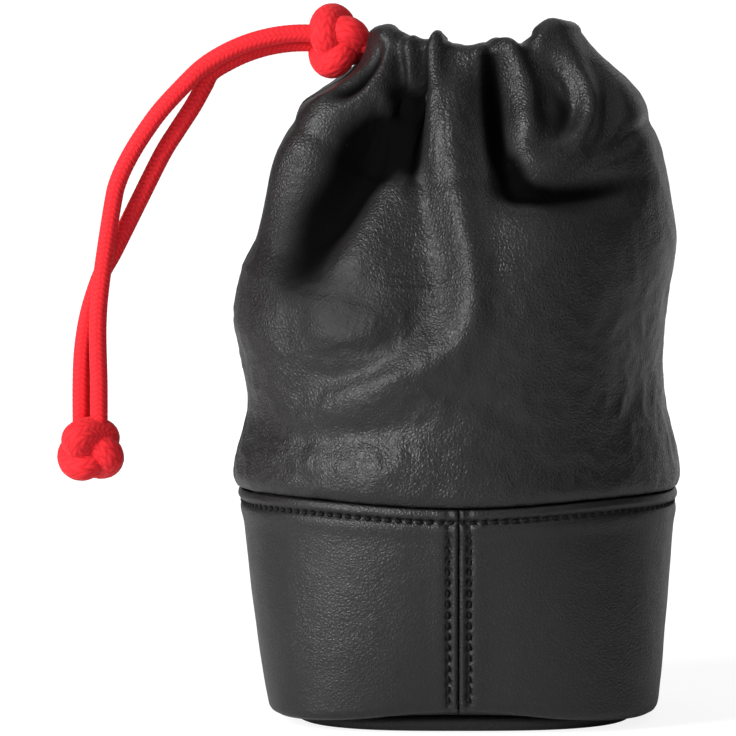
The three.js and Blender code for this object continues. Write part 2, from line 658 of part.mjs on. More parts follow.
for (const [face, turn, side] of [["front", -1, 1], ["back", 1, -1]]) {
  const [from, to] = turn < 0 ? [-180, 0] : [0, 180];
  const apart = [0, (turn * SEAM_GAP) / 2, 0];
  add(`upper_${face}_panel`, gathered(upperPanel(turn)), leather, apart);
  const lining = wall(upperPoint, upperLiningSection, from, to, UPPER_LINING_STEPS);
  add(`upper_${face}_lining`, gathered(lining), cloth, apart);
  const sewn = closed.filter((deg) => deg > CASING_STITCH_DEG).map((deg) => turn * radians(deg));
  const casing = sweep(upperPoint, casingThread, sewn, false);
  add(`casing_stitching_${face}`, gathered(casing), thread, apart);
  for (const [hand, deg, aside] of [["left", 180, -turn], ["right", 0, turn]]) {
    const geometry = uprightThread(upperPoint, deg, aside * SIDE_STITCH_INSET, liningLevels);
    add(`side_seam_stitching_${face}_${hand}`, gathered(geometry), thread, apart);
  }
  const run = tube(runPoints(turn, side), CORD_RADIUS, CORD_SIDES, RUN_STEPS);
  add(`drawstring_${face}_run`, gathered(run), braid);
}

// The two free strands, the knot that slides on them and the knot that ends them
const outer = strandPoints(1, OUTER_STRAND);
const inner = strandPoints(-1, INNER_STRAND);
add("tail_strand_outer", tube(outer, CORD_RADIUS, CORD_SIDES, STRAND_STEPS), braid);
add("tail_strand_inner", tube(inner, CORD_RADIUS, CORD_SIDES, STRAND_STEPS), braid);

// The hole through the slide knot, round both strands
const boreDegs = spread(ARC_START_DEG - BORE_EXTRA_DEG, ARC_END_DEG, BORE_STEPS);
const boreTurns = spread(0, 2 * Math.PI, BORE_SIDES).slice(1);
const boreRings = boreDegs.map((deg) => boreTurns.map((turn) => {
  const side = Math.cos(turn) * STRAND_RISE - Math.sin(turn) * STRAND_APART > 0 ? 1 : -1;
  const out = arcPoint(deg, side).setY(0).sub(arcCentre).normalize().multiplyScalar(Math.cos(turn));
  return arcPoint(deg, side).addScaledVector(out.setY(Math.sin(turn)), CORD_RADIUS + CORD_CLEARANCE);
}));
const boreFlat = boreTurns.map((turn) => new THREE.Vector2(Math.cos(turn), Math.sin(turn)));
const bore = skin(boreRings, boreRings.map(() => boreFlat));
const slideBall = knotBall(SLIDE_KNOT_LENGTH, SLIDE_KNOT_DIAMETER);
slideBall.rotateY(radians(SLIDE_KNOT_TILT_DEG)).translate(slideKnot.x, 0, slideKnot.z);
add("slide_knot", cut(slideBall, bore), braid);

const endBall = knotBall(END_KNOT_HEIGHT, END_KNOT_WIDTH).rotateY(Math.PI / 2);
endBall.translate(...arcCentre.clone().add(new THREE.Vector3(...END_KNOT_BELOW)).toArray());
const sockets = [outer, inner].map((points) => {
  const foot = points.at(-1).clone();
  foot.z -= CORD_CLEARANCE;
  return tube([...points.slice(-2, -1), foot], CORD_RADIUS + CORD_CLEARANCE, CORD_SIDES, 1);
});
add("end_knot", cut(endBall, ...sockets), braid);

// Where the moving pieces turn
pouch.userData.pivots = {
  frontLip: [0, -BAND_TOP_HALF_DEPTH - SEAM_GAP / 2, UPPER_FOOT_Z],
  tail: [slideKnot.x, 0, slideKnot.z],
  slideKnot: arcCentre.toArray(),
};

export default pouch;
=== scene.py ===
import json
from math import atan2, cos, pi, radians, sin

import bpy
import numpy as np
from bpy.props import FloatProperty, FloatVectorProperty, PointerProperty
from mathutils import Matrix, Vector, noise


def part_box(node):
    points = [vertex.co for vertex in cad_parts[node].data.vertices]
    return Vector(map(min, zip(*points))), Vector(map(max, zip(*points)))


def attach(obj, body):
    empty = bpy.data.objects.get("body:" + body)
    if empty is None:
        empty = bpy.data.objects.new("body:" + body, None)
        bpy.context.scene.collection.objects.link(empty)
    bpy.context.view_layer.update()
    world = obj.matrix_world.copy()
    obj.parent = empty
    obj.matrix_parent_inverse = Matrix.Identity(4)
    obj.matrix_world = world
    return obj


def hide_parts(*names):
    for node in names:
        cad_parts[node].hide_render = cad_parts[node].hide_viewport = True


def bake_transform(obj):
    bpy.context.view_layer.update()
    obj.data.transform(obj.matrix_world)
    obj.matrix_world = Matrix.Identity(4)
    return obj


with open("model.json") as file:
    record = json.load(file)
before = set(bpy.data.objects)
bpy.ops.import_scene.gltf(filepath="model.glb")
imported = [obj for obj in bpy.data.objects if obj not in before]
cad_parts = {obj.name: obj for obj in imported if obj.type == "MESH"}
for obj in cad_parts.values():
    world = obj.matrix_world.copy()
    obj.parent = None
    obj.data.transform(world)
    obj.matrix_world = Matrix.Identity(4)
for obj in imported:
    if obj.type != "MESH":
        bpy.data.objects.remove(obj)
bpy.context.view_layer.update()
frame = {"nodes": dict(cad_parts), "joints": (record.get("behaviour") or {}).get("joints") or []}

bl_info = {
    "name": "Drawstring Lens Pouch",
    "version": (1, 0, 0),
    "blender": (4, 5, 0),
    "location": "3D View > Sidebar > Pouch",
    "description": "Dresses the packed model of a soft leather lens pouch",
    "category": "Object",
}

MM = 0.001

# The photograph: its pixels to the millimetre, the pixel of the middle and of the table, tilt and width
PIXELS = 4.45
MIDDLE_PX = 457.5
TABLE_PX = 711.0
TILT = radians(6.1)
FRAME_PX = 736

# Levels of the pouch in millimetres
SOLE_TOP = 3.4
BAND_FOOT = 3.7
SEAM = 50.9
UPPER_FOOT = 50.95
MOUTH = 155.9
HEM_FOOT = 128.9

# Layers in millimetres
BAND_LEATHER = 1.4
UPPER_LEATHER = 1.2
LINING = 0.7
LAYER_GAP = 0.3
WALL_PADDING = 3.0
HEM_HALF = 3.6
HEM_CROWN = 2.6
HEM_CORD = 1.3
FLAP_INSET = 2.9
LINING_BELOW_HEM = 4.0
SHEATH_RISE = 0.05

# The band's reach to the left, the right and the front, as (at its foot, at its seam, share of the swell)
BAND_REACH = ((42.6, 49.0, 1.0), (45.2, 49.0, 0.6), (41.5, 46.5, 0.5))
BAND_SWELL = 0.8

# The band's lower edge: its level at the sides, its lift at the front and the back, and its turn-in
EDGE_LEVEL, EDGE_LIFT = 1.9, 2.7
FOOT_TURN_IN = 7.5

# Half gaps between panels that meet, as a width over its distance from the axis
SIDE_GAP = 0.35 / 46.0
BAND_GAP = 0.015 / 42.0
PADDING_GAP = 0.05 / 42.0

# The cord's runs in the hem: degrees from the right where they begin and end, and depth below the top edge
HEM_RUN_DEGS = (166.0, 24.0)
HEM_RUN_DEPTH = 4.0

# The slot that lets the cord out at the left: half its width, and the heights over which it opens
EXIT_SLOT = radians(13.5)
EXIT_SLOT_HEIGHTS = (144.2, 148.6)

# Rows of stitches: distance from the seam or the edge that they follow, where the rows beside the band's
# seams begin and end below its upper edge, their angle from the seam, the levels of the upper's rows, and
# how deep the threads lie in the leather
SEAM_ROW = 2.3
EDGE_ROW = 2.9
SIDE_ROW = 2.9
SEAM_ROW_TOP, SEAM_ROW_FOOT = 4.6, 43.0
SEAM_ROW_TURN = (SEAM_ROW + 0.08) / 43.5
SIDE_ROW_FOOT, SIDE_ROW_TOP_RIGHT, SIDE_ROW_TOP_LEFT = 55.0, 150.0, 139.0
CASING_LEVEL, CASING_DIP = 133.4, 9.0
BAND_SUNK = 0.2
CASING_SUNK = 0.62
SIDE_SUNK = 0.4

# Relief of the band's leather: swells as (height, distance, half width) from the seams and from the upper
# edge, the groove of a row of stitches with its needle holes, and the rounding of the foot
SEAM_SWELLS = ((0.4, 0.9, 0.36), (0.2, 4.2, 1.2))
EDGE_SWELLS = ((0.45, 1.4, 0.7), (0.35, 4.8, 1.4))
ROW_GROOVE, ROW_HOLE, ROW_HALF = 0.28, 0.6, 0.46
FOOT_ROLL = 1.6

# The sole's reach to the left, right and front, its squareness, and its edge as (height, inset)
SOLE_EDGE = (37.0, 40.0, 37.0, 3.0)
SOLE_LEVELS = ((0.0, 1.6), (0.12, 0.95), (0.5, 0.4), (1.1, 0.08), (1.7, 0.0), (2.3, 0.08), (2.9, 0.4),
               (3.28, 0.95), (SOLE_TOP, 1.6))

# The braided sheath: length of a rib, and columns of ribs round the cord
RIB_PITCH = 1.15
BRAID_COLUMNS = 8

# The knots: points of a loop, half the section of a wrap, and how the slide knot leans
KNOT_POINTS = 280
WRAP_HALF = (3.7, 3.6)
KNOT_TILT = radians(11.4)
KNOT_LEAN = radians(-13)

# Lamps as (name, place, size, power)
LAMPS = (
    ("key_lamp", (-1.05, -0.72, 0.6), (0.5, 0.7), 26.0),
    ("fill_lamp", (0.3, -1.28, 0.6), (0.7, 0.6), 2.6),
    ("top_lamp", (-0.1, 0.35, 1.2), (0.8, 0.4), 1.8),
    ("shoulder_lamp", (0.75, -0.55, 1.15), (0.4, 0.4), 2.0),
)
LAMP_AIM = Vector((0.0, 0.0, 0.08))
EYE_DISTANCE = 3.0
SENSOR = 36.0

# The upper's reach to the left, the right and the front or back, by height
UPPER_ROWS = np.array([
    (50.9, 49.0, 49.0, 46.5),
    (56.0, 50.0, 49.6, 47.3),
    (69.5, 47.1, 46.9, 46.0),
    (79.0, 48.4, 46.0, 46.2),
    (89.0, 50.3, 46.6, 46.5),
    (100.0, 48.4, 48.3, 45.3),
    (107.0, 45.2, 49.1, 43.0),
    (114.6, 43.3, 48.2, 40.0),
    (126.5, 40.9, 46.0, 34.0),
    (133.0, 38.0, 43.8, 30.0),
    (139.4, 35.0, 41.3, 26.0),
    (142.6, 30.4, 38.5, 23.6),
    (146.4, 25.0, 34.2, 21.0),
    (150.0, 22.8, 30.4, 19.3),
    (155.9, 20.8, 26.0, 18.0),
])

# The front lip's top edge: across and up in millimetres
FRONT_TOP = np.array([
    (-22.0, 151.8), (-20.4, 153.4), (-18.6, 155.4), (-16.8, 155.5), (-14.4, 154.3), (-12.2, 153.4),
    (-10.7, 153.4), (-9.2, 152.9), (-8.0, 153.2), (-6.6, 154.4), (-5.0, 154.8), (-3.4, 154.3), (-1.8, 152.7),
    (0.2, 151.9), (2.8, 151.7), (5.5, 152.3), (7.3, 152.7), (9.6, 153.2), (12.2, 152.9),
    (14.7, 151.8), (16.3, 153.2), (18.1, 155.2), (21.5, 156.8), (24.2, 156.5), (26.9, 155.6),
])
BACK_TOP = np.array([
    (-22.0, 152.5), (-18.0, 154.0), (-14.0, 151.8), (-10.0, 150.0), (-5.5, 150.2), (-1.0, 148.9),
    (4.0, 149.2), (8.5, 150.2), (13.0, 149.6), (18.0, 151.8), (23.0, 153.6), (26.9, 154.2),
])

# Folds of the front, as lines of (across px, down px, height in mm) with a half width in mm
FRONT_FOLDS = (
    (3.8, ((348, 98, 0.4), (322, 112, 1.8), (305, 135, 2.8), (293, 165, 3.1), (281, 195, 3.1),
           (267, 235, 2.5), (255, 265, 1.7), (247, 293, 0.6))),
    (4.6, ((392, 106, -2.4), (372, 124, -5.0), (352, 156, -7.0), (328, 195, -7.4), (307, 235, -5.6),
           (291, 266, -3.0), (280, 288, -0.6))),
    (10.5, ((412, 95, -0.6), (414, 130, -3.0), (416, 165, -5.6), (418, 215, -7.4), (422, 270, -7.0),
            (420, 315, -4.4), (408, 352, -1.6), (395, 378, 0.0))),
    (2.4, ((402, 70, -0.8), (408, 105, -2.0), (413, 150, -1.6), (418, 190, -0.6), (424, 230, 0.0))),
    (1.2, ((316, 103, 0.2), (338, 90, 0.9), (358, 78, 1.1), (372, 66, 0.8), (378, 50, 0.2))),
    (0.9, ((326, 104, 0.0), (344, 95, -1.2), (362, 84, -1.7), (376, 68, -1.5), (383, 50, -0.6))),
    (1.3, ((336, 108, 0.2), (358, 96, 1.1), (376, 80, 1.3), (387, 60, 0.6))),
    (1.8, ((383, 5, 2.2), (387, 30, 2.4), (393, 50, 2.3), (385, 77, 1.8), (365, 97, 0.5))),
    (1.3, ((400, 5, -2.2), (398, 45, -2.2), (397, 90, -1.4), (394, 118, 0.0))),
    (1.4, ((408, 5, 1.6), (407, 38, 1.6), (407, 100, 1.6), (405, 153, 0.5), (402, 178, 0.0))),
    (1.2, ((423, 5, -1.8), (422, 43, -2.2), (417, 97, -2.2), (407, 157, -0.8), (398, 190, 0.0))),
    (2.1, ((436, 5, 1.5), (433, 35, 1.7), (425, 60, 1.3), (420, 84, 0.0))),
    (3.3, ((458, 72, 1.0), (451, 110, 2.6), (450, 160, 3.3), (457, 215, 3.7), (468, 275, 3.5),
           (468, 318, 2.9), (452, 348, 2.1), (414, 371, 1.7), (368, 395, 1.3), (325, 408, 0.8),
           (282, 414, 0.0))),
    (3.2, ((424, 282, -0.2), (420, 310, -1.0), (404, 336, -1.4), (368, 358, -1.2), (320, 376, -0.7),
           (285, 382, 0.0))),
    (2.6, ((455, 5, -1.5), (455, 40, -1.8), (456, 64, -2.0), (458, 88, 0.0))),
    (1.3, ((481, 5, 1.4), (482, 45, 1.5), (484, 100, 1.6), (488, 150, 1.3), (494, 185, 0.2))),
    (2.6, ((494, 5, -3.4), (492, 53, -4.2), (496, 100, -5.4), (503, 160, -4.6), (514, 188, -2.4))),
    (2.2, ((500, 5, 1.8), (502, 43, 1.9), (515, 63, 2.2), (530, 93, 2.2), (531, 122, 1.7),
           (540, 142, 0.2))),
    (1.6, ((523, 5, -1.8), (523, 40, -1.8), (532, 62, -0.8), (540, 75, 0.0))),
    (4.2, ((548, 82, -1.8), (553, 105, -3.2), (550, 130, -1.6))),
    (1.8, ((560, 40, 0.6), (570, 60, 1.4), (584, 90, 1.9), (587, 113, 1.9), (576, 142, 1.5),
           (560, 154, 0.6))),
    (1.1, ((545, 60, -0.4), (566, 78, -1.3), (574, 98, -1.6), (572, 118, -1.4), (562, 134, -0.5))),
    (1.6, ((592, 70, -0.6), (606, 95, -1.3), (604, 125, -1.2), (590, 148, -0.5))),
    (1.2, ((512, 172, -0.6), (545, 175, -1.2), (568, 172, -1.2), (592, 160, -1.2), (618, 147, -1.0),
           (645, 125, -0.5))),
    (2.3, ((505, 186, -1.8), (545, 192, -3.8), (592, 188, -3.6), (635, 182, -1.0), (655, 176, 0.0))),
    (1.4, ((520, 200, -0.6), (560, 205, -1.4), (605, 203, -1.0), (640, 198, 0.0))),
    (1.4, ((556, 214, -0.4), (590, 212, -0.9), (626, 208, -0.4))),
    (3.0, ((520, 160, 0.3), (545, 162, 0.8), (570, 157, 0.8), (600, 145, 0.6))),
    (6.0, ((500, 226, 0.4), (550, 228, 1.4), (610, 226, 0.8))),
    (2.0, ((618, 92, 0.8), (630, 118, 1.2), (640, 150, 1.0), (652, 190, 0.3))),
    (3.2, ((312, 280, -0.4), (297, 302, -0.9), (291, 330, -1.2), (296, 352, -0.5))),
    (5.6, ((336, 258, 0.0), (340, 284, -1.5), (345, 312, -1.4), (352, 342, 0.0))),
    (4.0, ((262, 305, 0.6), (262, 340, 1.0), (270, 385, 0.8), (285, 430, 0.2))),
    (1.6, ((300, 345, 0.0), (325, 352, -0.4), (360, 350, -0.4), (395, 338, 0.0))),
    (1.5, ((300, 372, 0.0), (335, 378, -0.6), (372, 370, -0.7), (408, 352, 0.0))),
    (1.5, ((285, 390, 0.0), (320, 389, -0.5), (350, 381, 0.0))),
    (1.3, ((420, 392, 0.0), (455, 398, -0.6), (490, 403, -0.7), (520, 398, 0.0))),
    (1.4, ((470, 380, 0.0), (500, 372, -0.5), (540, 355, 0.0))),
    (1.4, ((476, 412, 0.0), (505, 420, -0.5), (545, 432, 0.0))),
    (2.0, ((250, 432, 0.0), (300, 438, -0.6), (352, 436, -0.7), (400, 428, -0.5), (440, 416, 0.0))),
    (3.0, ((320, 470, 0.3), (372, 473, 1.3), (425, 470, 0.4))),
    (2.6, ((470, 452, 0.0), (520, 462, -0.7), (580, 466, -0.6), (640, 452, 0.0))),
    (6.0, ((600, 300, 0.0), (630, 340, -1.0), (640, 390, -0.9), (630, 430, 0.0))),
)

# Painted shade on the front's deep folds, as lines like those of the folds; a value of 1 is the full painted
# shade
FRONT_PAINTED_SHADE = (
    (3.4, ((394, 104, 0.4), (372, 122, 1.2), (350, 156, 1.5), (322, 205, 1.4), (305, 238, 0.85),
           (293, 268, 0.5), (280, 310, 0.1))),
    (4.0, ((352, 150, 0.6), (372, 154, 0.8), (388, 158, 0.55), (398, 170, 0.15))),
    (2.2, ((398, 60, 0.4), (402, 110, 0.8), (404, 150, 0.8), (398, 180, 0.2))),
    (2.4, ((489, 55, 0.7), (490, 100, 1.1), (497, 145, 1.2), (510, 166, 1.2), (522, 184, 0.9),
           (535, 192, 0.3))),
    (1.9, ((508, 188, 0.6), (550, 194, 1.0), (600, 191, 0.9), (640, 184, 0.3))),
    (1.6, ((552, 86, 0.4), (562, 105, 0.8), (560, 128, 0.6), (548, 140, 0.1))),
    (1.0, ((423, 45, 0.6), (418, 97, 0.8), (410, 150, 0.2))),
    (1.6, ((396, 92, 0.5), (402, 104, 1.1), (402, 118, 0.8))),
    (0.9, ((326, 104, 0.1), (344, 95, 0.8), (362, 84, 0.9), (376, 68, 0.8), (383, 50, 0.3))),
    (11.0, ((306, 246, 0.3), (322, 282, 0.42), (346, 314, 0.44), (384, 318, 0.36), (404, 285, 0.25),
            (406, 245, 0.15))),
    (6.0, ((560, 235, 0.1), (585, 290, 0.25), (590, 350, 0.25), (570, 400, 0.1))),
)

# Folds of the back, as lines of (degrees from the right, level in mm, height in mm), half width in degrees
BACK_FOLDS = (
    (6.5, ((28, 175, 1.2), (31, 142, 2.0), (35, 124, 1.5), (39, 106, 0.0))),
    (4.4, ((45, 175, -1.9), (46, 142, -2.7), (49, 126, -2.2), (52, 110, 0.0))),
    (6.5, ((61, 175, 1.7), (62, 142, 2.4), (64, 122, 2.4), (66, 98, 1.0), (68, 80, 0.0))),
    (4.4, ((77, 175, -2.1), (77, 142, -2.9), (78, 126, -2.2), (78, 110, 0.0))),
    (6.5, ((92, 175, 1.7), (92, 142, 2.4), (92, 118, 2.6), (96, 92, 1.7), (104, 72, 0.0))),
    (4.4, ((107, 175, -1.9), (108, 142, -2.9), (110, 124, -2.4), (113, 106, 0.0))),
    (6.5, ((122, 175, 1.5), (124, 142, 2.2), (127, 124, 1.9), (131, 104, 0.0))),
    (4.4, ((137, 175, -1.0), (139, 140, -2.2), (142, 124, -1.9), (146, 104, 0.0))),
    (6.5, ((151, 160, 0.5), (153, 134, 1.7), (155, 118, 1.9), (158, 96, 0.0))),
    (2.2, ((69, 175, -0.9), (69, 142, -0.8), (71, 128, 0.0))),
    (2.2, ((99, 175, -0.9), (100, 142, -0.7), (101, 124, 0.0))),
    (2.2, ((54, 165, -0.7), (54, 138, -0.8), (57, 122, 0.0))),
    (2.2, ((130, 165, -0.7), (131, 138, -0.8), (134, 120, 0.0))),
    (6.0, ((40, 88, 0.0), (70, 80, -1.0), (105, 82, -1.0), (135, 92, 0.0))),
    (7.0, ((50, 66, 0.0), (90, 62, 0.9), (130, 66, 0.0))),
)

# The free strands below the first arc of the cord, from the arc's centre, in millimetres
OUTER_STRAND = (
    (-25.6, -2.1, 27.4), (-31.7, -2.2, 20.9), (-35.7, -2.2, 15.5), (-39.1, -2.3, 10.0), (-41.6, -2.3, 4.6),
    (-42.9, -2.3, -0.8), (-45.4, -2.3, -17.3), (-46.3, -2.2, -28.0), (-46.1, -1.8, -41.5),
    (-46.1, -1.8, -52.7),
)
INNER_STRAND = (
    (-22.4, 2.1, 25.6), (-25.0, 2.2, 20.9), (-28.5, 2.2, 15.5), (-31.9, 2.2, 10.0), (-37.3, 2.3, -0.8),
    (-42.7, 2.3, -11.7), (-45.6, 2.3, -17.1), (-48.3, 2.2, -25.3), (-49.7, 2.0, -33.4), (-50.1, 1.6, -41.5),
    (-50.1, 1.6, -52.7),
)
ARC_RADIUS = 36.5
ARC_DEGS = (-28.0, 36.0)
STRAND_RISE = 1.2
STRAND_APART = 1.844


def length_property(label, about, value):
    return FloatProperty(name=label, description=about, default=value, unit="LENGTH")


def colour_property(label, about, value):
    return FloatVectorProperty(name=label, description=about, default=value, subtype="COLOR")


class PouchSizes(bpy.types.PropertyGroup):
    """Sizes of the pouch that a user would change"""

    cord: length_property("Cord", "Diameter of the braided cord", 0.004)
    stitch_pitch: length_property("Stitch Pitch", "Distance from one stitch to the next", 0.0024)
    stitch_length: length_property("Stitch Length", "Visible length of one stitch", 0.0016)
    thread: length_property("Thread", "Diameter of the sewing thread", 0.0009)
    fold_depth: FloatProperty(
        name="Fold Depth", description="Depth of the folds in the upper, as a share of the measured depth",
        default=1.0, subtype="FACTOR", min=0.0, max=1.2)
    wrinkle: length_property("Wrinkles", "Height of the fine wrinkles in the upper", 0.00022)


class PouchColours(bpy.types.PropertyGroup):
    """Colours of the pouch's materials"""

    leather: colour_property("Leather", "Colour of the leather", (0.005, 0.005, 0.0054))
    leather_worn: colour_property(
        "Leather, Raised", "Colour of the leather where it is raised", (0.011, 0.011, 0.0115))
    cord: colour_property("Cord", "Colour of the braided cord", (0.74, 0.022, 0.03))
    # Painted shade: the cord's red, darker between the ribs of its braid
    cord_rib_shade: colour_property("Cord, Deep", "Colour of the cord between its ribs", (0.58, 0.012, 0.018))
    thread: colour_property("Thread", "Colour of the sewing thread", (0.006, 0.006, 0.0063))
    lining: colour_property("Lining", "Colour of the lining cloth", (0.055, 0.055, 0.06))
    foam: colour_property("Foam", "Colour of the padding", (0.18, 0.18, 0.19))
    board: colour_property("Board", "Colour of the stiffener", (0.3, 0.26, 0.22))


# Curves and meshes

def smoothstep(low, high, value):
    share = np.clip((value - low) / (high - low), 0.0, 1.0)
    return share * share * (3.0 - 2.0 * share)


def bell(distance, half_width):
    return np.exp(-0.5 * (distance / half_width) ** 2)


def rounding(share):
    """How far a quarter round falls back, from 1 at its edge to 0 where it ends."""
    return 1.0 - np.sqrt(1.0 - (1.0 - share) ** 2)


def distance_along(line):
    return np.concatenate([[0.0], np.cumsum(np.linalg.norm(np.diff(line, axis=0), axis=1))])


def smooth_line(points, steps):
    """A smooth line through points, with equal steps between each two."""
    points = np.asarray(points, float)
    padded = np.concatenate([[2 * points[0] - points[1]], points, [2 * points[-1] - points[-2]]])
    share = (np.arange(steps) / steps)[None, :, None]
    a, b, c, d = (padded[k:len(padded) - 3 + k, None, :] for k in range(4))
    curve = 0.5 * (2 * b + (c - a) * share + (2 * a - 5 * b + 4 * c - d) * share ** 2
                   + (3 * b - a - 3 * c + d) * share ** 3)
    return np.concatenate([curve.reshape(-1, points.shape[1]), points[-1:]])


def even_line(points, spacing):
    """A smooth line through points, with points at an even distance."""
    line = smooth_line(points, 24)
    run = distance_along(line)
    stops = np.linspace(0.0, run[-1], int(round(run[-1] / spacing)) + 1)
    return np.stack([np.interp(stops, run, line[:, k]) for k in range(line.shape[1])], 1), stops


def curve_through(table, heights):
    """The columns of a table at given heights, on smooth curves that don't overshoot."""
    keys = table[:, 0]
    span = np.diff(keys)
    heights = np.clip(heights, keys[0], keys[-1])
    k = np.clip(np.searchsorted(keys, heights, side="right") - 1, 0, len(span) - 1)
    t = (heights - keys[k]) / span[k]
    columns = []
    for column in table[:, 1:].T:
        steep = np.diff(column) / span
        slope = np.concatenate([[steep[0]], np.where(
            steep[:-1] * steep[1:] > 0, 2 * steep[:-1] * steep[1:] / (steep[:-1] + steep[1:] + 1e-12), 0.0),
            [steep[-1]]])
        a, b = column[k], column[k + 1]
        ma, mb = slope[k] * span[k], slope[k + 1] * span[k]
        columns.append(a + ma * t + (3 * (b - a) - 2 * ma - mb) * t ** 2 + (2 * (a - b) + ma + mb) * t ** 3)
    return columns


def outline(angle, left, right, depth, squareness=2.0):
    """Points on a rounded outline about the axis; an angle of 0 is at the right."""
    c, s = np.cos(angle), np.sin(angle)
    across = np.abs(c / np.where(c < 0, left, right)) ** squareness
    along = np.abs(s / depth) ** squareness
    reach = (across + along) ** (-1.0 / squareness)
    return reach * c, reach * s


def normals_of(grid):
    normal = np.cross(np.gradient(grid, axis=1), np.gradient(grid, axis=0))
    return normal / np.maximum(np.linalg.norm(normal, axis=-1, keepdims=True), 1e-9)


def grid_quads(index):
    return np.stack([index[:-1, :-1], index[:-1, 1:], index[1:, 1:], index[1:, :-1]], -1).reshape(-1, 4)


def cap_quads(ring):
    """Faces that close a ring with an even number of points."""
    last = len(ring) - 1
    return np.array([(ring[k], ring[k + 1], ring[last - k - 1], ring[last - k]) for k in range(last // 2)])


def thin_body(outer, inner, wrap=False):
    """Points and faces of a closed body between an outer and an inner grid of points."""
    rows, columns = outer.shape[:2]
    count = rows * columns
    index = np.arange(count).reshape(rows, columns)
    if wrap:
        index = np.concatenate([index, index[:, :1]], 1)
    deep = index + count

    def rim(near, far):
        return np.stack([near[1:], near[:-1], far[:-1], far[1:]], -1)

    faces = [grid_quads(index), grid_quads(deep)[:, ::-1]]
    faces += [rim(index[0], deep[0]), rim(index[-1], deep[-1])[:, ::-1]]
    if not wrap:
        faces += [rim(index[:, 0], deep[:, 0])[:, ::-1], rim(index[:, -1], deep[:, -1])]
    return np.concatenate([outer.reshape(-1, 3), inner.reshape(-1, 3)]), np.concatenate(faces)


def new_piece(name, points, faces, material, layout=None, painted_shade=None):
    """A smooth mesh object from points in millimetres and faces of four corners."""
    corners = points[faces]
    volume = np.einsum("ij,ij->i", corners[:, 0], np.cross(corners[:, 1], corners[:, 2])).sum()
    volume += np.einsum("ij,ij->i", corners[:, 0], np.cross(corners[:, 2], corners[:, 3])).sum()
    if volume < 0:
        faces = faces[:, ::-1]
    mesh = bpy.data.meshes.new(name)
    mesh.from_pydata((points * MM).tolist(), [], faces.tolist())
    mesh.polygons.foreach_set("use_smooth", np.ones(len(faces), bool))
    if layout is not None:
        uv = mesh.uv_layers.new(name="run")
        uv.data.foreach_set("uv", layout[faces].reshape(-1).astype(np.float32))
    # A mask of painted shade in the folds, read by the leather's finish
    if painted_shade is not None:
        mask = mesh.attributes.new("painted_shade", "FLOAT", "POINT")
        mask.data.foreach_set("value", painted_shade.astype(np.float32))
    mesh.materials.append(material)
    mesh.update()
    return new_object(name, mesh)


def new_object(name, data):
    thing = bpy.data.objects.new(name, data)
    bpy.context.scene.collection.objects.link(thing)
    return thing


def noise_at(points, scale, seed):
    """Smooth noise from -1 to 1 at each point of a grid."""
    flat = points.reshape(-1, 3) * scale + seed
    return np.array([noise.noise(Vector(p)) for p in flat]).reshape(points.shape[:-1])


# Materials

def add_node(tree, kind, values=None, links=None, **settings):
    """A node with its settings, its input values and the sockets that feed it."""
    node = tree.nodes.new(kind)
    for key, value in settings.items():
        setattr(node, key, value)
    for key, value in (values or {}).items():
        node.inputs[key].default_value = value
    for key, socket in (links or {}).items():
        tree.links.new(socket, node.inputs[key])
    return node


def math_node(tree, operation, *operands):
    node = add_node(tree, "ShaderNodeMath", operation=operation)
    for socket, value in zip(node.inputs, operands):
        if isinstance(value, (int, float)):
            socket.default_value = value
        else:
            tree.links.new(value, socket)
    return node.outputs[0]


def times(tree, first, second):
    return math_node(tree, "MULTIPLY", first, second)


def plus(tree, first, second):
    return math_node(tree, "ADD", first, second)


def ramp_between(tree, value, low, high):
    return add_node(tree, "ShaderNodeMapRange", {1: low, 2: high, 3: 0.0, 4: 1.0}, {0: value},
                    interpolation_type="SMOOTHSTEP").outputs[0]


def mix_colours(tree, share, first, second):
    node = add_node(tree, "ShaderNodeMix", None, {0: share}, data_type="RGBA")
    for key, value in ((6, first), (7, second)):
        if hasattr(value, "links"):
            tree.links.new(value, node.inputs[key])
        else:
            node.inputs[key].default_value = (*value, 1.0)
    return node.outputs[2]


def object_place(tree):
    return tree.nodes.new("ShaderNodeTexCoord").outputs["Object"]


def noise_node(tree, place, scale, detail):
    return add_node(tree, "ShaderNodeTexNoise", {"Scale": scale, "Detail": detail}, {"Vector": place}).outputs


def new_group(name, vector, **values):
    """A shader group with one vector input and inputs with values; underscores in names become blanks."""
    group = bpy.data.node_groups.new(name, "ShaderNodeTree")
    group.interface.new_socket(vector, in_out="INPUT", socket_type="NodeSocketVector")
    for label, value in values.items():
        socket = group.interface.new_socket(
            label.replace("_", " "), in_out="INPUT", socket_type="NodeSocketFloat")
        socket.default_value = value
    return group, add_node(group, "NodeGroupInput").outputs


def close_group(group, **results):
    """The group, with an output for each result."""
    for label in results:
        group.interface.new_socket(label, in_out="OUTPUT", socket_type="NodeSocketFloat")
    add_node(group, "NodeGroupOutput", None, results)
    return group


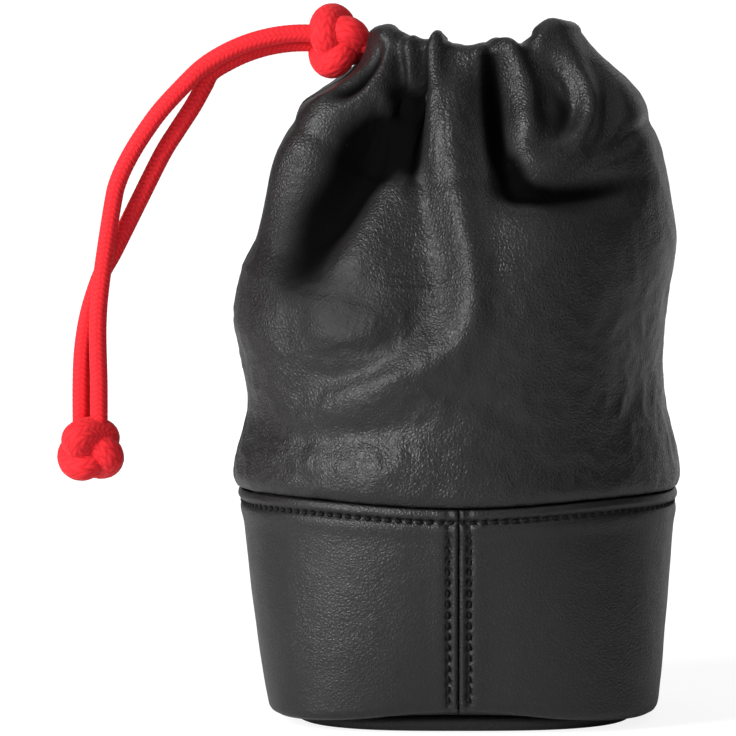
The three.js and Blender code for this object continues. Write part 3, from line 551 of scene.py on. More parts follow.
def grain_group():
    """Pebbled leather grain: its height, how raised it is, and broad patches."""
    group, get = new_group("leather_grain", "Vector", Pebble_Scale=820.0, Patch_Scale=34.0, Wrinkle_Depth=0.5)
    place, scale = get["Vector"], get["Pebble Scale"]
    bend = noise_node(group, place, 420.0, 2.0)["Color"]
    shift = add_node(group, "ShaderNodeVectorMath", {1: (0.5, 0.5, 0.5)}, {0: bend}, operation="SUBTRACT")
    small = add_node(group, "ShaderNodeVectorMath", {"Scale": 0.0011}, {0: shift.outputs[0]},
                     operation="SCALE")
    bent = add_node(group, "ShaderNodeVectorMath", None, {0: place, 1: small.outputs[0]},
                    operation="ADD").outputs[0]

    def cells(size, width):
        node = add_node(group, "ShaderNodeTexVoronoi", None, {"Vector": bent, "Scale": size},
                        feature="DISTANCE_TO_EDGE")
        return ramp_between(group, node.outputs["Distance"], 0.0, width)

    pebble = cells(scale, 0.36)
    dot = cells(times(group, scale, 2.3), 0.3)
    patch = add_node(group, "ShaderNodeTexNoise", {"Detail": 3.0},
                     {"Vector": place, "Scale": get["Patch Scale"]})
    patches = ramp_between(group, patch.outputs[0], 0.34, 0.66)
    wide = add_node(group, "ShaderNodeTexNoise", {"Scale": 190.0, "Detail": 4.0, "Roughness": 0.6},
                    {"Vector": bent})
    crease = math_node(group, "ABSOLUTE", math_node(group, "SUBTRACT", wide.outputs[0], 0.5))
    crease = ramp_between(group, crease, 0.0, 0.12)
    share = plus(group, times(group, patches, 0.5), 0.5)
    body = plus(group, times(group, pebble, 0.8), times(group, dot, 0.2))
    height = plus(group, times(group, body, share), times(group, crease, get["Wrinkle Depth"]))
    return close_group(group, Height=height, Raised=pebble, Patches=patches)


def weave_group():
    """Crossing threads of a plain weave: height and a mask of loose fibres."""
    group, get = new_group("plain_weave", "Vector", Thread_Scale=900.0)
    waves = [add_node(group, "ShaderNodeTexWave", {"Distortion": 0.6, "Detail": 1.0},
                      {"Vector": get["Vector"], "Scale": get["Thread Scale"]},
                      bands_direction=direction).outputs["Fac"] for direction in ("X", "Z")]
    fuzz = noise_node(group, get["Vector"], 1400.0, 3.0)[0]
    height = plus(group, math_node(group, "MAXIMUM", *waves), times(group, fuzz, 0.4))
    return close_group(group, Height=height, Fuzz=fuzz)


def braid_group():
    """Yarns of a braided sheath, laid along the cord's own layout in millimetres and turns."""
    group, get = new_group("braided_sheath", "Layout", Rib_Pitch=RIB_PITCH, Columns=BRAID_COLUMNS)
    parts = add_node(group, "ShaderNodeSeparateXYZ", None, {0: get["Layout"]}).outputs
    column = times(group, parts[1], get["Columns"])
    within = math_node(group, "FRACT", column)
    half = times(group, math_node(group, "FLOOR", column), 0.5)
    odd = math_node(group, "ROUND", math_node(group, "FRACT", half))
    side = math_node(group, "SUBTRACT", times(group, odd, 2.0), 1.0)
    slant = times(group, times(group, within, side), 0.8)
    along = plus(group, math_node(group, "DIVIDE", parts[0], get["Rib Pitch"]), slant)
    rib, yarn = (math_node(group, "ABSOLUTE", math_node(group, "SINE", times(group, along, turns * pi)))
                 for turns in (1, 5))
    return close_group(group, Height=plus(group, times(group, rib, 0.75), times(group, yarn, 0.25)), Rib=rib)


def new_material(name, **constants):
    """A material whose shader has constants on its own sockets; underscores in names become blanks."""
    material = bpy.data.materials.new(name)
    material.use_nodes = True
    shader = material.node_tree.nodes["Principled BSDF"]
    for label, value in constants.items():
        shader.inputs[label.replace("_", " ")].default_value = value
    return material, material.node_tree, shader


def put_colour(tree, shader, share, first, second):
    tree.links.new(mix_colours(tree, share, first, second), shader.inputs["Base Color"])


def put_bump(tree, shader, height, strength, distance):
    bump = add_node(tree, "ShaderNodeBump", {"Strength": strength, "Distance": distance}, {"Height": height})
    tree.links.new(bump.outputs[0], shader.inputs["Normal"])


def leather_finish(name, group, colours, pebble, wrinkle, rough, strength):
    """Grained leather with painted shade in its folds; rough gives its roughness on raised grain and in the
    creases.
    """
    material, tree, shader = new_material(name)
    grain = add_node(tree, "ShaderNodeGroup", {"Pebble Scale": pebble, "Wrinkle Depth": wrinkle},
                     {"Vector": object_place(tree)}, node_tree=group).outputs
    # Painted shade: where the mask is set, the colour darkens to 0.15 of the leather's and the roughness
    # rises to 0.8
    painted_shade = add_node(tree, "ShaderNodeAttribute", attribute_name="painted_shade").outputs["Fac"]
    worn = times(tree, grain["Raised"], plus(tree, times(tree, grain["Patches"], 0.6), 0.2))
    body = mix_colours(tree, worn, colours.leather, colours.leather_worn)
    put_colour(tree, shader, painted_shade, body, [0.15 * c for c in colours.leather])
    gloss = add_node(tree, "ShaderNodeMapRange", {3: rough[1], 4: rough[0]}, {0: worn})
    dull = add_node(tree, "ShaderNodeMapRange", {4: 0.8}, {0: painted_shade, 3: gloss.outputs[0]})
    tree.links.new(dull.outputs[0], shader.inputs["Roughness"])
    # Painted shade: the specular level falls from 0.42 to 0.03 in the shaded folds
    sheen = add_node(tree, "ShaderNodeMapRange", {3: 0.42, 4: 0.03}, {0: painted_shade})
    tree.links.new(sheen.outputs[0], shader.inputs["Specular IOR Level"])
    shallow = math_node(tree, "SUBTRACT", 1.0, times(tree, painted_shade, 0.8))
    put_bump(tree, shader, times(tree, grain["Height"], shallow), strength, 0.0003)
    return material


def cloth_finish(name, group, colour, scale):
    material, tree, shader = new_material(name, Roughness=0.9, Specular_IOR_Level=0.15, Sheen_Weight=0.1)
    weave = add_node(tree, "ShaderNodeGroup", {"Thread Scale": scale}, {"Vector": object_place(tree)},
                     node_tree=group).outputs
    put_colour(tree, shader, weave["Fuzz"], colour, [min(1.0, 1.5 * c) for c in colour])
    put_bump(tree, shader, weave["Height"], 0.5, 0.0002)
    return material


def cord_finish(name, group, colours):
    material, tree, shader = new_material(name, Roughness=0.66, Specular_IOR_Level=0.1, Sheen_Weight=0.04)
    layout = add_node(tree, "ShaderNodeUVMap", uv_map="run").outputs[0]
    braid = add_node(tree, "ShaderNodeGroup", None, {"Layout": layout}, node_tree=group).outputs
    fibre = noise_node(tree, object_place(tree), 900.0, 2.0)[0]
    # Painted shade between the braid's ribs, mixed with random fibre tone
    shade = plus(tree, times(tree, braid["Rib"], 0.8), times(tree, fibre, 0.35))
    put_colour(tree, shader, ramp_between(tree, shade, 0.1, 0.85), colours.cord_rib_shade, colours.cord)
    put_bump(tree, shader, braid["Height"], 0.35, 0.00015)
    return material


def thread_finish(name, colour):
    material, tree, shader = new_material(name, Roughness=0.7, Specular_IOR_Level=0.1)
    twist = add_node(tree, "ShaderNodeTexWave", {"Scale": 900.0, "Distortion": 1.0},
                     {"Vector": object_place(tree)}, bands_direction="DIAGONAL").outputs["Fac"]
    put_colour(tree, shader, twist, colour, [1.8 * c for c in colour])
    put_bump(tree, shader, twist, 0.4, 0.0001)
    return material


def pad_finish(name, colour, scale, strength):
    material, tree, shader = new_material(name, Roughness=0.92)
    pores = noise_node(tree, object_place(tree), scale, 4.0)[0]
    put_colour(tree, shader, pores, [0.7 * c for c in colour], colour)
    put_bump(tree, shader, pores, strength, 0.0003)
    return material


def finish_named(name):
    """A finish by name, made when it is first asked for."""
    if name in bpy.data.materials:
        return bpy.data.materials[name]
    colours = bpy.context.scene.pouch_colours
    groups = bpy.data.node_groups
    grain = groups.get("leather_grain") or grain_group()
    weave = groups.get("plain_weave") or weave_group()
    braid = groups.get("braided_sheath") or braid_group()
    makers = {
        "upper_leather": lambda: leather_finish(name, grain, colours, 1120.0, 0.25, (0.31, 0.47), 0.48),
        "band_leather": lambda: leather_finish(name, grain, colours, 1200.0, 0.25, (0.34, 0.5), 0.36),
        "sole_leather": lambda: leather_finish(name, grain, colours, 900.0, 0.2, (0.5, 0.6), 0.3),
        "lining_cloth": lambda: cloth_finish(name, weave, colours.lining, 480.0),
        "cord_sheath": lambda: cord_finish(name, braid, colours),
        "sewing_thread": lambda: thread_finish(name, colours.thread),
        "padding_foam": lambda: pad_finish(name, colours.foam, 1100.0, 0.5),
        "stiffener_board": lambda: pad_finish(name, colours.board, 300.0, 0.25),
    }
    return makers[name]()


# Shapes of the pouch

def photo_place(x, y, z):
    """Where points in millimetres lie in the photograph, in pixels across and down."""
    return MIDDLE_PX + PIXELS * x, TABLE_PX - PIXELS * (z * cos(TILT) + y * sin(TILT))


def seam_rise(angle):
    """The band's seam rises a little between the front, the sides and the back."""
    return 0.9 * np.sin(2 * angle) ** 2


def fold_heights(across, down, folds, per_mm):
    """Height of all folds at places of the same plane as their lines."""
    total = np.zeros_like(across)
    for width, points in folds:
        line = smooth_line(points, 12)
        reach = 4.0 * width * per_mm
        near = ((across > line[:, 0].min() - reach) & (across < line[:, 0].max() + reach)
                & (down > line[:, 1].min() - reach) & (down < line[:, 1].max() + reach))
        if not near.any():
            continue
        away = (across[near][:, None] - line[:, 0]) ** 2 + (down[near][:, None] - line[:, 1]) ** 2
        k = away.argmin(1)
        total[near] += line[k, 2] * np.exp(-0.5 * away[np.arange(len(k)), k] / (width * per_mm) ** 2)
    return total


class UpperPanel:
    """One half of the gathered upper: its outer wall as a grid of points, and what lies on it."""

    LEVELS = 165
    COLUMNS = 211
    CROWN_STEPS = 10
    FLAP_STEPS = 14

    def __init__(self, front):
        self.front = front
        sizes = bpy.context.scene.pouch_sizes
        share = np.linspace(0.0, 1.0, self.LEVELS)[:, None]
        across = np.linspace(0.0, 1.0, self.COLUMNS)[None, :]
        nominal = UPPER_FOOT + share * (MOUTH - HEM_CROWN - UPPER_FOOT)
        exit_slot = EXIT_SLOT * smoothstep(*EXIT_SLOT_HEIGHTS, nominal)
        if front:
            start, end = -pi + exit_slot + SIDE_GAP, -SIDE_GAP
        else:
            start, end = SIDE_GAP, pi - exit_slot - SIDE_GAP
        angle = start + (end - start) * across
        foot = seam_rise(angle)
        z = self.levels(nominal, share, angle) + foot * (1.0 - smoothstep(0.0, 0.2, share))
        x, y = outline(angle, *curve_through(UPPER_ROWS, nominal + 0 * angle))
        base = np.stack([x, y, z], -1)
        normal = normals_of(base)
        from_side = np.minimum(angle - start, end - angle) * np.hypot(x, y)
        above = z - UPPER_FOOT - foot
        folds = self.folds(x, y, z, normal, angle)
        rise = folds * sizes.fold_depth
        rise += self.wrinkles(base, share) * sizes.wrinkle / MM
        side_dip = 1.2 - 0.8 * smoothstep(138.0, 146.0, nominal)
        rise -= side_dip * (1.0 - np.clip(from_side / 2.4, 0.0, 1.0)) ** 2
        rise -= 0.8 * rounding(np.clip(above, 0.0, 1.0))
        rise += 0.6 * bell(above - 2.4, 1.4)
        self.angle, self.normal = angle, normal
        # Painted shade in the folds, kept as a mask for the leather's finish
        self.painted_shade = self.painted_fold_shade(x, y, z, folds)
        self.wall = base + normal * rise[..., None]
        level = normal * (1.0, 1.0, 0.0)
        self.level = level / np.linalg.norm(level, axis=-1, keepdims=True)

    def levels(self, nominal, share, angle):
        """Heights that grow into the lip's uneven top edge."""
        mouth_x, _ = outline(angle, *UPPER_ROWS[-1, 1:])
        edge = smooth_line(FRONT_TOP if self.front else BACK_TOP, 8)
        crown = np.interp(mouth_x, edge[:, 0], edge[:, 1]) - HEM_CROWN
        return nominal + smoothstep(0.55, 1.0, share) * (crown - (MOUTH - HEM_CROWN))

    def folds(self, x, y, z, normal, angle):
        """Height of the folds, with the groove of the casing's row of stitches."""
        groove = -0.55 * bell(z - self.case_height(angle), 1.3)
        if self.front:
            facing = smoothstep(0.02, 0.42, -normal[..., 1])
            return fold_heights(*photo_place(x, y, z), FRONT_FOLDS, PIXELS) * facing + groove
        return fold_heights(np.degrees(angle), z, BACK_FOLDS, 1.0) + groove

    def painted_fold_shade(self, x, y, z, folds):
        """Painted shade of each place, from 0 to 1: from the listed lines on the front, from the depth of the
        folds on the back.
        """
        if not self.front:
            return smoothstep(1.0, 4.0, -folds)
        return smoothstep(0.04, 1.0, fold_heights(*photo_place(x, y, z), FRONT_PAINTED_SHADE, PIXELS)) * (y < 0.0)

    def wrinkles(self, base, share):
        """Fine creases, deeper in the lower half."""
        creases = 1.0 - 2.0 * np.abs(noise_at(base, 0.16, 3.1 if self.front else 11.7))
        fine = noise_at(base * (1.0, 1.0, 1.4), 0.42, 7.3)
        return (1.2 * creases + 0.5 * fine) * (0.35 + 0.65 * smoothstep(0.75, 0.3, share))

    @staticmethod
    def case_height(angle):
        """The casing's row of stitches, lower at the front and the back than at the sides."""
        return CASING_LEVEL - CASING_DIP * np.sin(angle) ** 2

    def row_at(self, height):
        """The row of the wall that is nearest to a height at the panel's middle."""
        return int(np.argmin(np.abs(self.wall[:, self.COLUMNS // 2, 2] - height)))

    def hem(self):
        """The wall, the crown of the mouth and the flap inside it, as one grid."""
        top, out = self.wall[-1], self.level[-1]
        turns = np.linspace(0.0, pi, self.CROWN_STEPS + 1)[1:, None, None]
        crown = top - out * HEM_HALF * (1.0 - np.cos(turns))
        crown = crown + np.array((0.0, 0.0, HEM_CROWN)) * np.sin(turns)
        rows = np.linspace(self.LEVELS - 2, self.row_at(HEM_FOOT), self.FLAP_STEPS).round().astype(int)
        share = np.linspace(0.0, 1.0, self.FLAP_STEPS)[:, None, None]
        inset = 2 * HEM_HALF - (2 * HEM_HALF - FLAP_INSET) * smoothstep(0.5, 1.0, share)
        flap = self.wall[rows] - self.level[rows] * inset
        return np.concatenate([self.wall, crown, flap])

    def place(self, angle, z, out):
        """Points on the wall at angles and heights, moved out by a distance."""
        first, last = self.angle[self.LEVELS // 2, [0, -1]]
        column = (np.asarray(angle) - first) / (last - first) * (self.COLUMNS - 1)
        column = np.clip(column, 0, self.COLUMNS - 1.001)
        j = column.astype(int)
        points = []
        for col, part, height in zip(j, column - j, z):
            k = np.interp(height, self.wall[:, col, 2], np.arange(self.LEVELS))
            i = min(int(k), self.LEVELS - 2)
            spot = 0.0
            facing = 0.0
            for row, near in ((i, 1 - (k - i)), (i + 1, k - i)):
                for side, close in ((col, 1 - part), (col + 1, part)):
                    spot = spot + self.wall[row, side] * near * close
                    facing = facing + self.normal[row, side] * near * close
            points.append(spot + facing * out)
        return np.array(points)


PANELS = {}


def upper_panel(front):
    if front not in PANELS:
        PANELS[front] = UpperPanel(front)
    return PANELS[front]


def band_sizes(z):
    """The band's reach to the left, the right and the front at a height, and its squareness."""
    share = np.clip((z - BAND_FOOT) / (SEAM - BAND_FOOT), 0.0, 1.0)
    swell = BAND_SWELL * np.sin(pi * share) * (1 - share)
    left, right, depth = (foot + (seam - foot) * share + part * swell for foot, seam, part in BAND_REACH)
    return left, right, depth, 3.3 - 1.3 * share ** 0.8


def ring_of(angle, sizes, z, inset):
    """Points at a height on an outline of given sizes, moved in by a distance."""
    left, right, depth, square = sizes
    x, y = outline(angle, left - inset, right - inset, depth - inset, square)
    return np.stack([x, y, z + 0 * angle], -1)


def band_surface(angle, z, inset=0.0):
    return ring_of(angle, band_sizes(z), z, inset)


def on_band(angle, below, out):
    """Points on the band at angles and distances below its seam."""
    z = SEAM + seam_rise(angle) - 0.15 - below
    ahead = band_surface(angle + 0.01, z) - band_surface(angle - 0.01, z)
    up = band_surface(angle, z + 0.1) - band_surface(angle, z - 0.1)
    facing = np.cross(ahead, up)
    facing /= np.linalg.norm(facing, axis=-1, keepdims=True)
    return band_surface(angle, z) + facing * out


def denser(start, end, count, marks, width):
    """Values from start to end, closer together near the marks."""
    fine = np.linspace(start, end, 4000)
    weight = np.ones_like(fine)
    for mark in marks:
        weight += 2.2 * bell(fine - mark, width)
    run = np.concatenate([[0.0], np.cumsum(0.5 * (weight[1:] + weight[:-1]))])
    return np.interp(np.linspace(0.0, run[-1], count), run, fine)


def stitch_holes(along, length):
    """How near places along a row of stitches are to the needle's holes, from 0 to 1."""
    pitch = bpy.context.scene.pouch_sizes.stitch_pitch / MM
    step = length / max(1, int(length / pitch))
    part = (along / step) % 1.0 - 0.5
    return bell(part * step, 0.5) * ((along > -0.5 * step) & (along < length + 0.5 * step))


def band_relief(angle, below, point):
    """How far the band's leather stands out: its seams, edges and rows of stitches, and its unevenness."""
    from_seam = np.minimum(angle - angle[0, 0], angle[0, -1] - angle) * np.hypot(point[..., 0], point[..., 1])
    around = np.linspace(0.0, 2 * pi, 361)
    walked = distance_along(on_band(around, EDGE_ROW, 0.0))
    edge_holes = stitch_holes(np.interp(angle % (2 * pi), around, walked), walked[-1])
    seam_holes = stitch_holes(below - 0.1 - SEAM_ROW_TOP, SEAM_ROW_FOOT - SEAM_ROW_TOP)
    rise = 0.22 * noise_at(point, 0.05, 5.5) + 0.1 * noise_at(point, 0.17, 2.2)
    for distance, edge, row, holes, swells in ((from_seam, 0.4, SEAM_ROW, seam_holes, SEAM_SWELLS),
                                               (below, 0.5, EDGE_ROW, edge_holes, EDGE_SWELLS)):
        rise -= 0.4 * (1.0 - np.clip(distance / edge, 0.0, 1.0)) ** 2
        rise -= (ROW_GROOVE + ROW_HOLE * holes) * bell(distance - row, ROW_HALF)
        for height, place, half in swells:
            rise += height * bell(distance - place, half)
    return rise


def turned_foot(angle, foot):
    """Rings of the band's lower edge where it turns under, from the inside out."""
    edge = band_surface(angle, foot, FOOT_ROLL)[0]
    rings = []
    for turn in np.linspace(1.0, 0.0, 8)[:-1]:
        scale = 1.0 - FOOT_TURN_IN * turn / np.hypot(edge[:, 0], edge[:, 1])
        ring = edge * np.stack([scale, scale, np.ones_like(scale)], -1)
        ring[:, 2] = foot[0] + (BAND_FOOT + 0.15 - foot[0]) * smoothstep(0.0, 0.35, turn)
        rings.append(ring)
    return np.array(rings)


def band_panel_grid(centre):
    """The outside of one half of the band: foot turned under, wall, and top edge."""
    ends = (centre - pi / 2, centre + pi / 2)
    angle = denser(ends[0] + BAND_GAP, ends[1] - BAND_GAP, 231, ends, 0.09)[None, :]
    share = denser(0.0, 1.0, 110, (0.94, 1.0), 0.025)[:, None]
    foot = EDGE_LEVEL + EDGE_LIFT * np.abs(np.sin(angle)) ** 6
    top = SEAM + seam_rise(angle) - 0.05
    z = foot + (top - foot) * share
    point = band_surface(angle, z)
    rise = band_relief(angle, top - z, point)
    rise -= FOOT_ROLL * rounding(np.clip((z - foot) / 2.2, 0.0, 1.0))
    wall = point + normals_of(point) * rise[..., None]
    return np.concatenate([turned_foot(angle, foot), wall])


def disc_body(rings):
    """Points and faces of a solid disc from a column of rings, closed at both ends."""
    count = rings.shape[1]
    ends = [0.999 * ring.mean(1, keepdims=True) + 0.001 * ring for ring in (rings[:1], rings[-1:])]
    points = np.concatenate([ends[0], rings, ends[1]])
    index = np.arange(points.shape[0] * count).reshape(-1, count)
    faces = grid_quads(np.concatenate([index, index[:, :1]], 1))
    return points.reshape(-1, 3), np.concatenate([faces, cap_quads(index[0])[:, ::-1], cap_quads(index[-1])])


def layer_disc(sizes, levels, steps=128):
    """A solid disc of an outline's sizes, whose edge is given as pairs of height and inset."""
    angle = np.arange(steps) / steps * 2 * pi
    outer = [ring_of(angle, sizes, z, inset) for z, inset in levels]
    bottom = [outer[0] * (s, s, 1.0) for s in (0.25, 0.5, 0.75, 0.92)]
    top = [outer[-1] * (s, s, 1.0) for s in (0.92, 0.75, 0.5, 0.25)]
    return disc_body(np.array(bottom + outer + top))


# Cords

def frames_along(path):
    """Directions along and across a path, turned as little as possible."""
    along = np.gradient(path, axis=0)
    along /= np.linalg.norm(along, axis=1, keepdims=True)
    side = np.cross(along[0], (0.0, 1.0, 0.0))
    sides = []
    for ahead in along:
        side = side - ahead * np.dot(side, ahead)
        side = side / np.linalg.norm(side)
        sides.append(side)
    sides = np.array(sides)
    return along, sides, np.cross(along, sides)


def braid_relief(run, turn):
    """How far the sheath stands out, by the distance along the cord in mm and the share of a turn."""
    column = turn * BRAID_COLUMNS
    within = column - np.floor(column)
    side = np.where(np.floor(column) % 2 < 1, -1.0, 1.0)
    rib = np.abs(np.sin(pi * (run / RIB_PITCH + 0.8 * within * side)))
    crown = np.sin(pi * within) ** 0.5
    return crown * (0.45 + 0.55 * rib)


def braided_tube(name, path, run, half, material, closed=False, sides=40, relief=0.09, repeats=1):
    """A braided cord along a path; half holds half its section's width and thickness."""
    count = len(path)
    along, first, second = frames_along(path)
    if closed:
        ahead, back = first[-1], first[0]
        twist = atan2(np.dot(np.cross(ahead, back), along[0]), np.dot(ahead, back))
        spin = (twist * np.arange(count) / count)[:, None]
        c, s = np.cos(spin), np.sin(spin)
        first, second = first * c + second * s, second * c - first * s
    turn = np.arange(sides) / sides
    theta = 2 * pi * turn
    out = relief * (braid_relief(run[:, None], repeats * turn[None, :]) - 1.0)
    wide, thick = (np.broadcast_to(np.asarray(h, float).reshape(-1, 1), (count, 1)) + out for h in half)
    grid = path[:, None, :] + second[:, None, :] * (wide * np.cos(theta))[..., None]
    grid = grid + first[:, None, :] * (thick * np.sin(theta))[..., None]
    index = np.arange(count * sides).reshape(count, sides)
    caps = [] if closed else [cap_quads(index[0])[:, ::-1], cap_quads(index[-1])]
    index = np.concatenate([index, index[:, :1]], 1)
    if closed:
        index = np.concatenate([index, index[:1]], 0)
    layout = np.stack([np.repeat(run, sides), np.tile(repeats * turn, count)], -1)
    return new_piece(name, grid.reshape(-1, 3), np.concatenate([grid_quads(index), *caps]), material, layout)


def looped_cord(name, line, material):
    """A closed loop of a knot's cord with a whole number of ribs."""
    run = distance_along(line)
    whole = run[-1] + np.linalg.norm(line[0] - line[-1])
    run *= RIB_PITCH * round(whole / RIB_PITCH) / whole
    return braided_tube(name, line, run, WRAP_HALF, material, closed=True, sides=80, relief=0.12, repeats=2)


def overhand():
    """An overhand knot with three lobes, without a size: along its axis, across it, and to the back."""
    turn = np.linspace(0.0, 2 * pi, KNOT_POINTS, endpoint=False)
    return 2 * np.cos(2 * turn) - np.cos(turn), np.sin(turn) + 2 * np.sin(2 * turn), np.sin(3 * turn)


def joint_place(name):
    joint = next(j for j in frame["joints"] if j["name"] == name)
    return np.array(joint["pos_m"], float) / MM


def strand_points(outer):
    """The line of one free strand, from the mouth to the end knot, in millimetres."""
    centre = joint_place("slide_knot_travel")
    side = 1.0 if outer else -1.0
    reach = ARC_RADIUS + side * STRAND_RISE
    points = [centre + (-sin(radians(d)) * reach, -side * STRAND_APART, cos(radians(d)) * reach)
              for d in np.linspace(*ARC_DEGS, 10)]
    points += [centre + np.array(p) for p in (OUTER_STRAND if outer else INNER_STRAND)]
    return np.array(points)


# Bodies that the pieces belong to

def keep_on(body, piece, slot, *nodes):
    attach(piece, body)
    if nodes:
        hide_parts(*nodes)


def keep_on_lip(front, piece, slot, *nodes):
    """The piece stays where it lies, with its place baked into its points, and the parts it stands for are
    hidden.
    """
    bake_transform(piece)
    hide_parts(*nodes)


# Steps

SIDES = ((True, "front"), (False, "back"))
BAND_HALVES = ((pi, "left"), (0.0, "right"))


class PouchOperator(bpy.types.Operator):
    bl_options = {"REGISTER", "UNDO"}


class POUCH_OT_stage(PouchOperator):
    """Set up the camera, the light and the pale floor"""

    bl_idname = "pouch.stage"
    bl_label = "Stage"

    def execute(self, context):
        scene = context.scene
        scene.view_settings.view_transform = "Standard"
        camera = bpy.data.cameras.new("camera")
        camera.sensor_width = SENSOR
        camera.lens = SENSOR * EYE_DISTANCE / (FRAME_PX / PIXELS * MM)
        camera.clip_end = 20.0
        eye = new_object("camera", camera)
        aim = Vector(((FRAME_PX / 2 - MIDDLE_PX) / PIXELS * MM, 0.0,
                      (TABLE_PX - FRAME_PX / 2) / PIXELS / cos(TILT) * MM))
        eye.location = aim + EYE_DISTANCE * Vector((0.0, -cos(TILT), sin(TILT)))
        eye.rotation_euler = (pi / 2 - TILT, 0.0, 0.0)
        scene.camera = eye
        self.floor()
        self.world(scene)
        for lamp in LAMPS:
            self.lamp(*lamp)
        return {"FINISHED"}

    @staticmethod
    def lamp(name, place, size, power):
        light = bpy.data.lights.new(name, "AREA")
        light.shape = "RECTANGLE"
        light.size, light.size_y = size
        light.energy = power
        lamp = new_object(name, light)
        lamp.location = place
        lamp.rotation_euler = (LAMP_AIM - Vector(place)).to_track_quat("-Z", "Y").to_euler()

    @staticmethod
    def floor():
        material = bpy.data.materials.new("floor_white")
        material.use_nodes = True
        tree = material.node_tree
        tree.nodes.clear()
        place = object_place(tree)
        speck = add_node(tree, "ShaderNodeTexNoise", {"Scale": 30.0}, {"Vector": place})
        colour = mix_colours(tree, speck.outputs[0], (0.9, 0.9, 0.9), (0.94, 0.94, 0.94))
        matt = add_node(tree, "ShaderNodeBsdfDiffuse", None, {"Color": colour})
        away = add_node(tree, "ShaderNodeVectorMath", None, {0: place}, operation="LENGTH")
        sweep = add_node(tree, "ShaderNodeMapRange", {1: 0.1, 2: 0.5, 3: 1.2, 4: 1.45},
                         {0: away.outputs["Value"]})
        glow = add_node(tree, "ShaderNodeEmission", {"Color": (1.0, 1.0, 1.0, 1.0)},
                        {"Strength": sweep.outputs[0]})
        path = tree.nodes.new("ShaderNodeLightPath").outputs
        across = add_node(tree, "ShaderNodeSeparateXYZ", None, {0: place}).outputs
        mirrored = math_node(tree, "MAXIMUM", path["Is Glossy Ray"], path["Is Transmission Ray"])
        for axis, low, high in ((1, 0.0, 0.6), (0, -0.5, 0.1)):
            mirrored = times(tree, mirrored, ramp_between(tree, across[axis], low, high))
        seen = math_node(tree, "MAXIMUM", path["Is Camera Ray"], mirrored)
        mixed = add_node(tree, "ShaderNodeMixShader", None,
                         {0: times(tree, seen, 0.72), 1: matt.outputs[0], 2: glow.outputs[0]})
        add_node(tree, "ShaderNodeOutputMaterial", None, {0: mixed.outputs[0]})
        half, z = 4.0, -0.0002
        mesh = bpy.data.meshes.new("floor")
        mesh.from_pydata([(-half, -half, z), (half, -half, z), (half, half, z), (-half, half, z)], [],
                         [(0, 1, 2, 3)])
        mesh.materials.append(material)
        new_object("floor", mesh)

    @staticmethod
    def world(scene):
        world = bpy.data.worlds.new("studio")
        scene.world = world
        world.use_nodes = True
        tree = world.node_tree
        tree.nodes.clear()
        path = tree.nodes.new("ShaderNodeLightPath").outputs
        mirrored = math_node(tree, "MAXIMUM", path["Is Glossy Ray"], path["Is Transmission Ray"])
        seen = math_node(tree, "MAXIMUM", path["Is Camera Ray"], mirrored)
        place = tree.nodes.new("ShaderNodeTexCoord").outputs["Generated"]
        way = add_node(tree, "ShaderNodeSeparateXYZ", None, {0: place}).outputs
        behind = times(tree, ramp_between(tree, way[1], 0.5, 0.95), ramp_between(tree, way[0], -0.6, 0.15))
        backdrop = add_node(tree, "ShaderNodeMapRange", {3: 0.06, 4: 1.0}, {0: behind})
        shown = math_node(tree, "MAXIMUM", backdrop.outputs[0], path["Is Camera Ray"])
        strength = add_node(tree, "ShaderNodeMapRange", {3: 0.15}, {0: seen, 4: shown})
        light = add_node(tree, "ShaderNodeBackground", {"Color": (1.0, 1.0, 1.0, 1.0)},
                         {"Strength": strength.outputs[0]})
        add_node(tree, "ShaderNodeOutputWorld", None, {0: light.outputs[0]})


class POUCH_OT_knots(PouchOperator):
    """Tie the slide knot round the strands and the end knot below them"""

    bl_idname = "pouch.knots"
    bl_label = "Knots"

    def execute(self, context):
        material = finish_named("cord_sheath")
        self.slide_knot(material)
        self.end_knot(material)
        return {"FINISHED"}

    @staticmethod
    def slide_knot(material):
        along, across, back = overhand()
        flat, high = 1.35 * along, 1.75 * across
        shift = flat * cos(KNOT_LEAN) - high * sin(KNOT_LEAN) + 0.2
        rise = flat * sin(KNOT_LEAN) + high * cos(KNOT_LEAN)
        line = np.stack([shift * cos(KNOT_TILT) - rise * sin(KNOT_TILT), 2.5 * back,
                         shift * sin(KNOT_TILT) + rise * cos(KNOT_TILT)], -1)
        piece = looped_cord("slide_knot_wraps", joint_place("tail_swing") + line, material)
        keep_on("slide_knot", piece, "cord", "slide_knot")

    @staticmethod
    def end_knot(material):
        low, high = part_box("end_knot")
        centre = (np.array(low) + np.array(high)) / 2 / MM
        along, across, back = overhand()
        height = 1.45 * along - 0.9
        spread = 1.45 * (1.0 + 0.9 * smoothstep(-0.5, 3.0, height))
        line = np.stack([spread * across, -2.3 * back - 2.4 * smoothstep(-1.0, 3.4, height), height], -1)
        piece = looped_cord("end_knot_wraps", centre + line, material)
        path, run = even_line(np.array([centre + (0, 0, k) for k in (5.2, 2.0, -2.0, -4.6)]), 0.3)
        swell = np.sqrt(np.clip(1.0 - ((path[:, 2] - centre[2]) / 6.0) ** 2, 0.05, 1.0))
        core = braided_tube("end_knot_core", path, run, (4.6 * swell, 3.6 * swell), material, sides=32)
        keep_on("tail", piece, "cord", "end_knot")
        keep_on("tail", core, "cord")


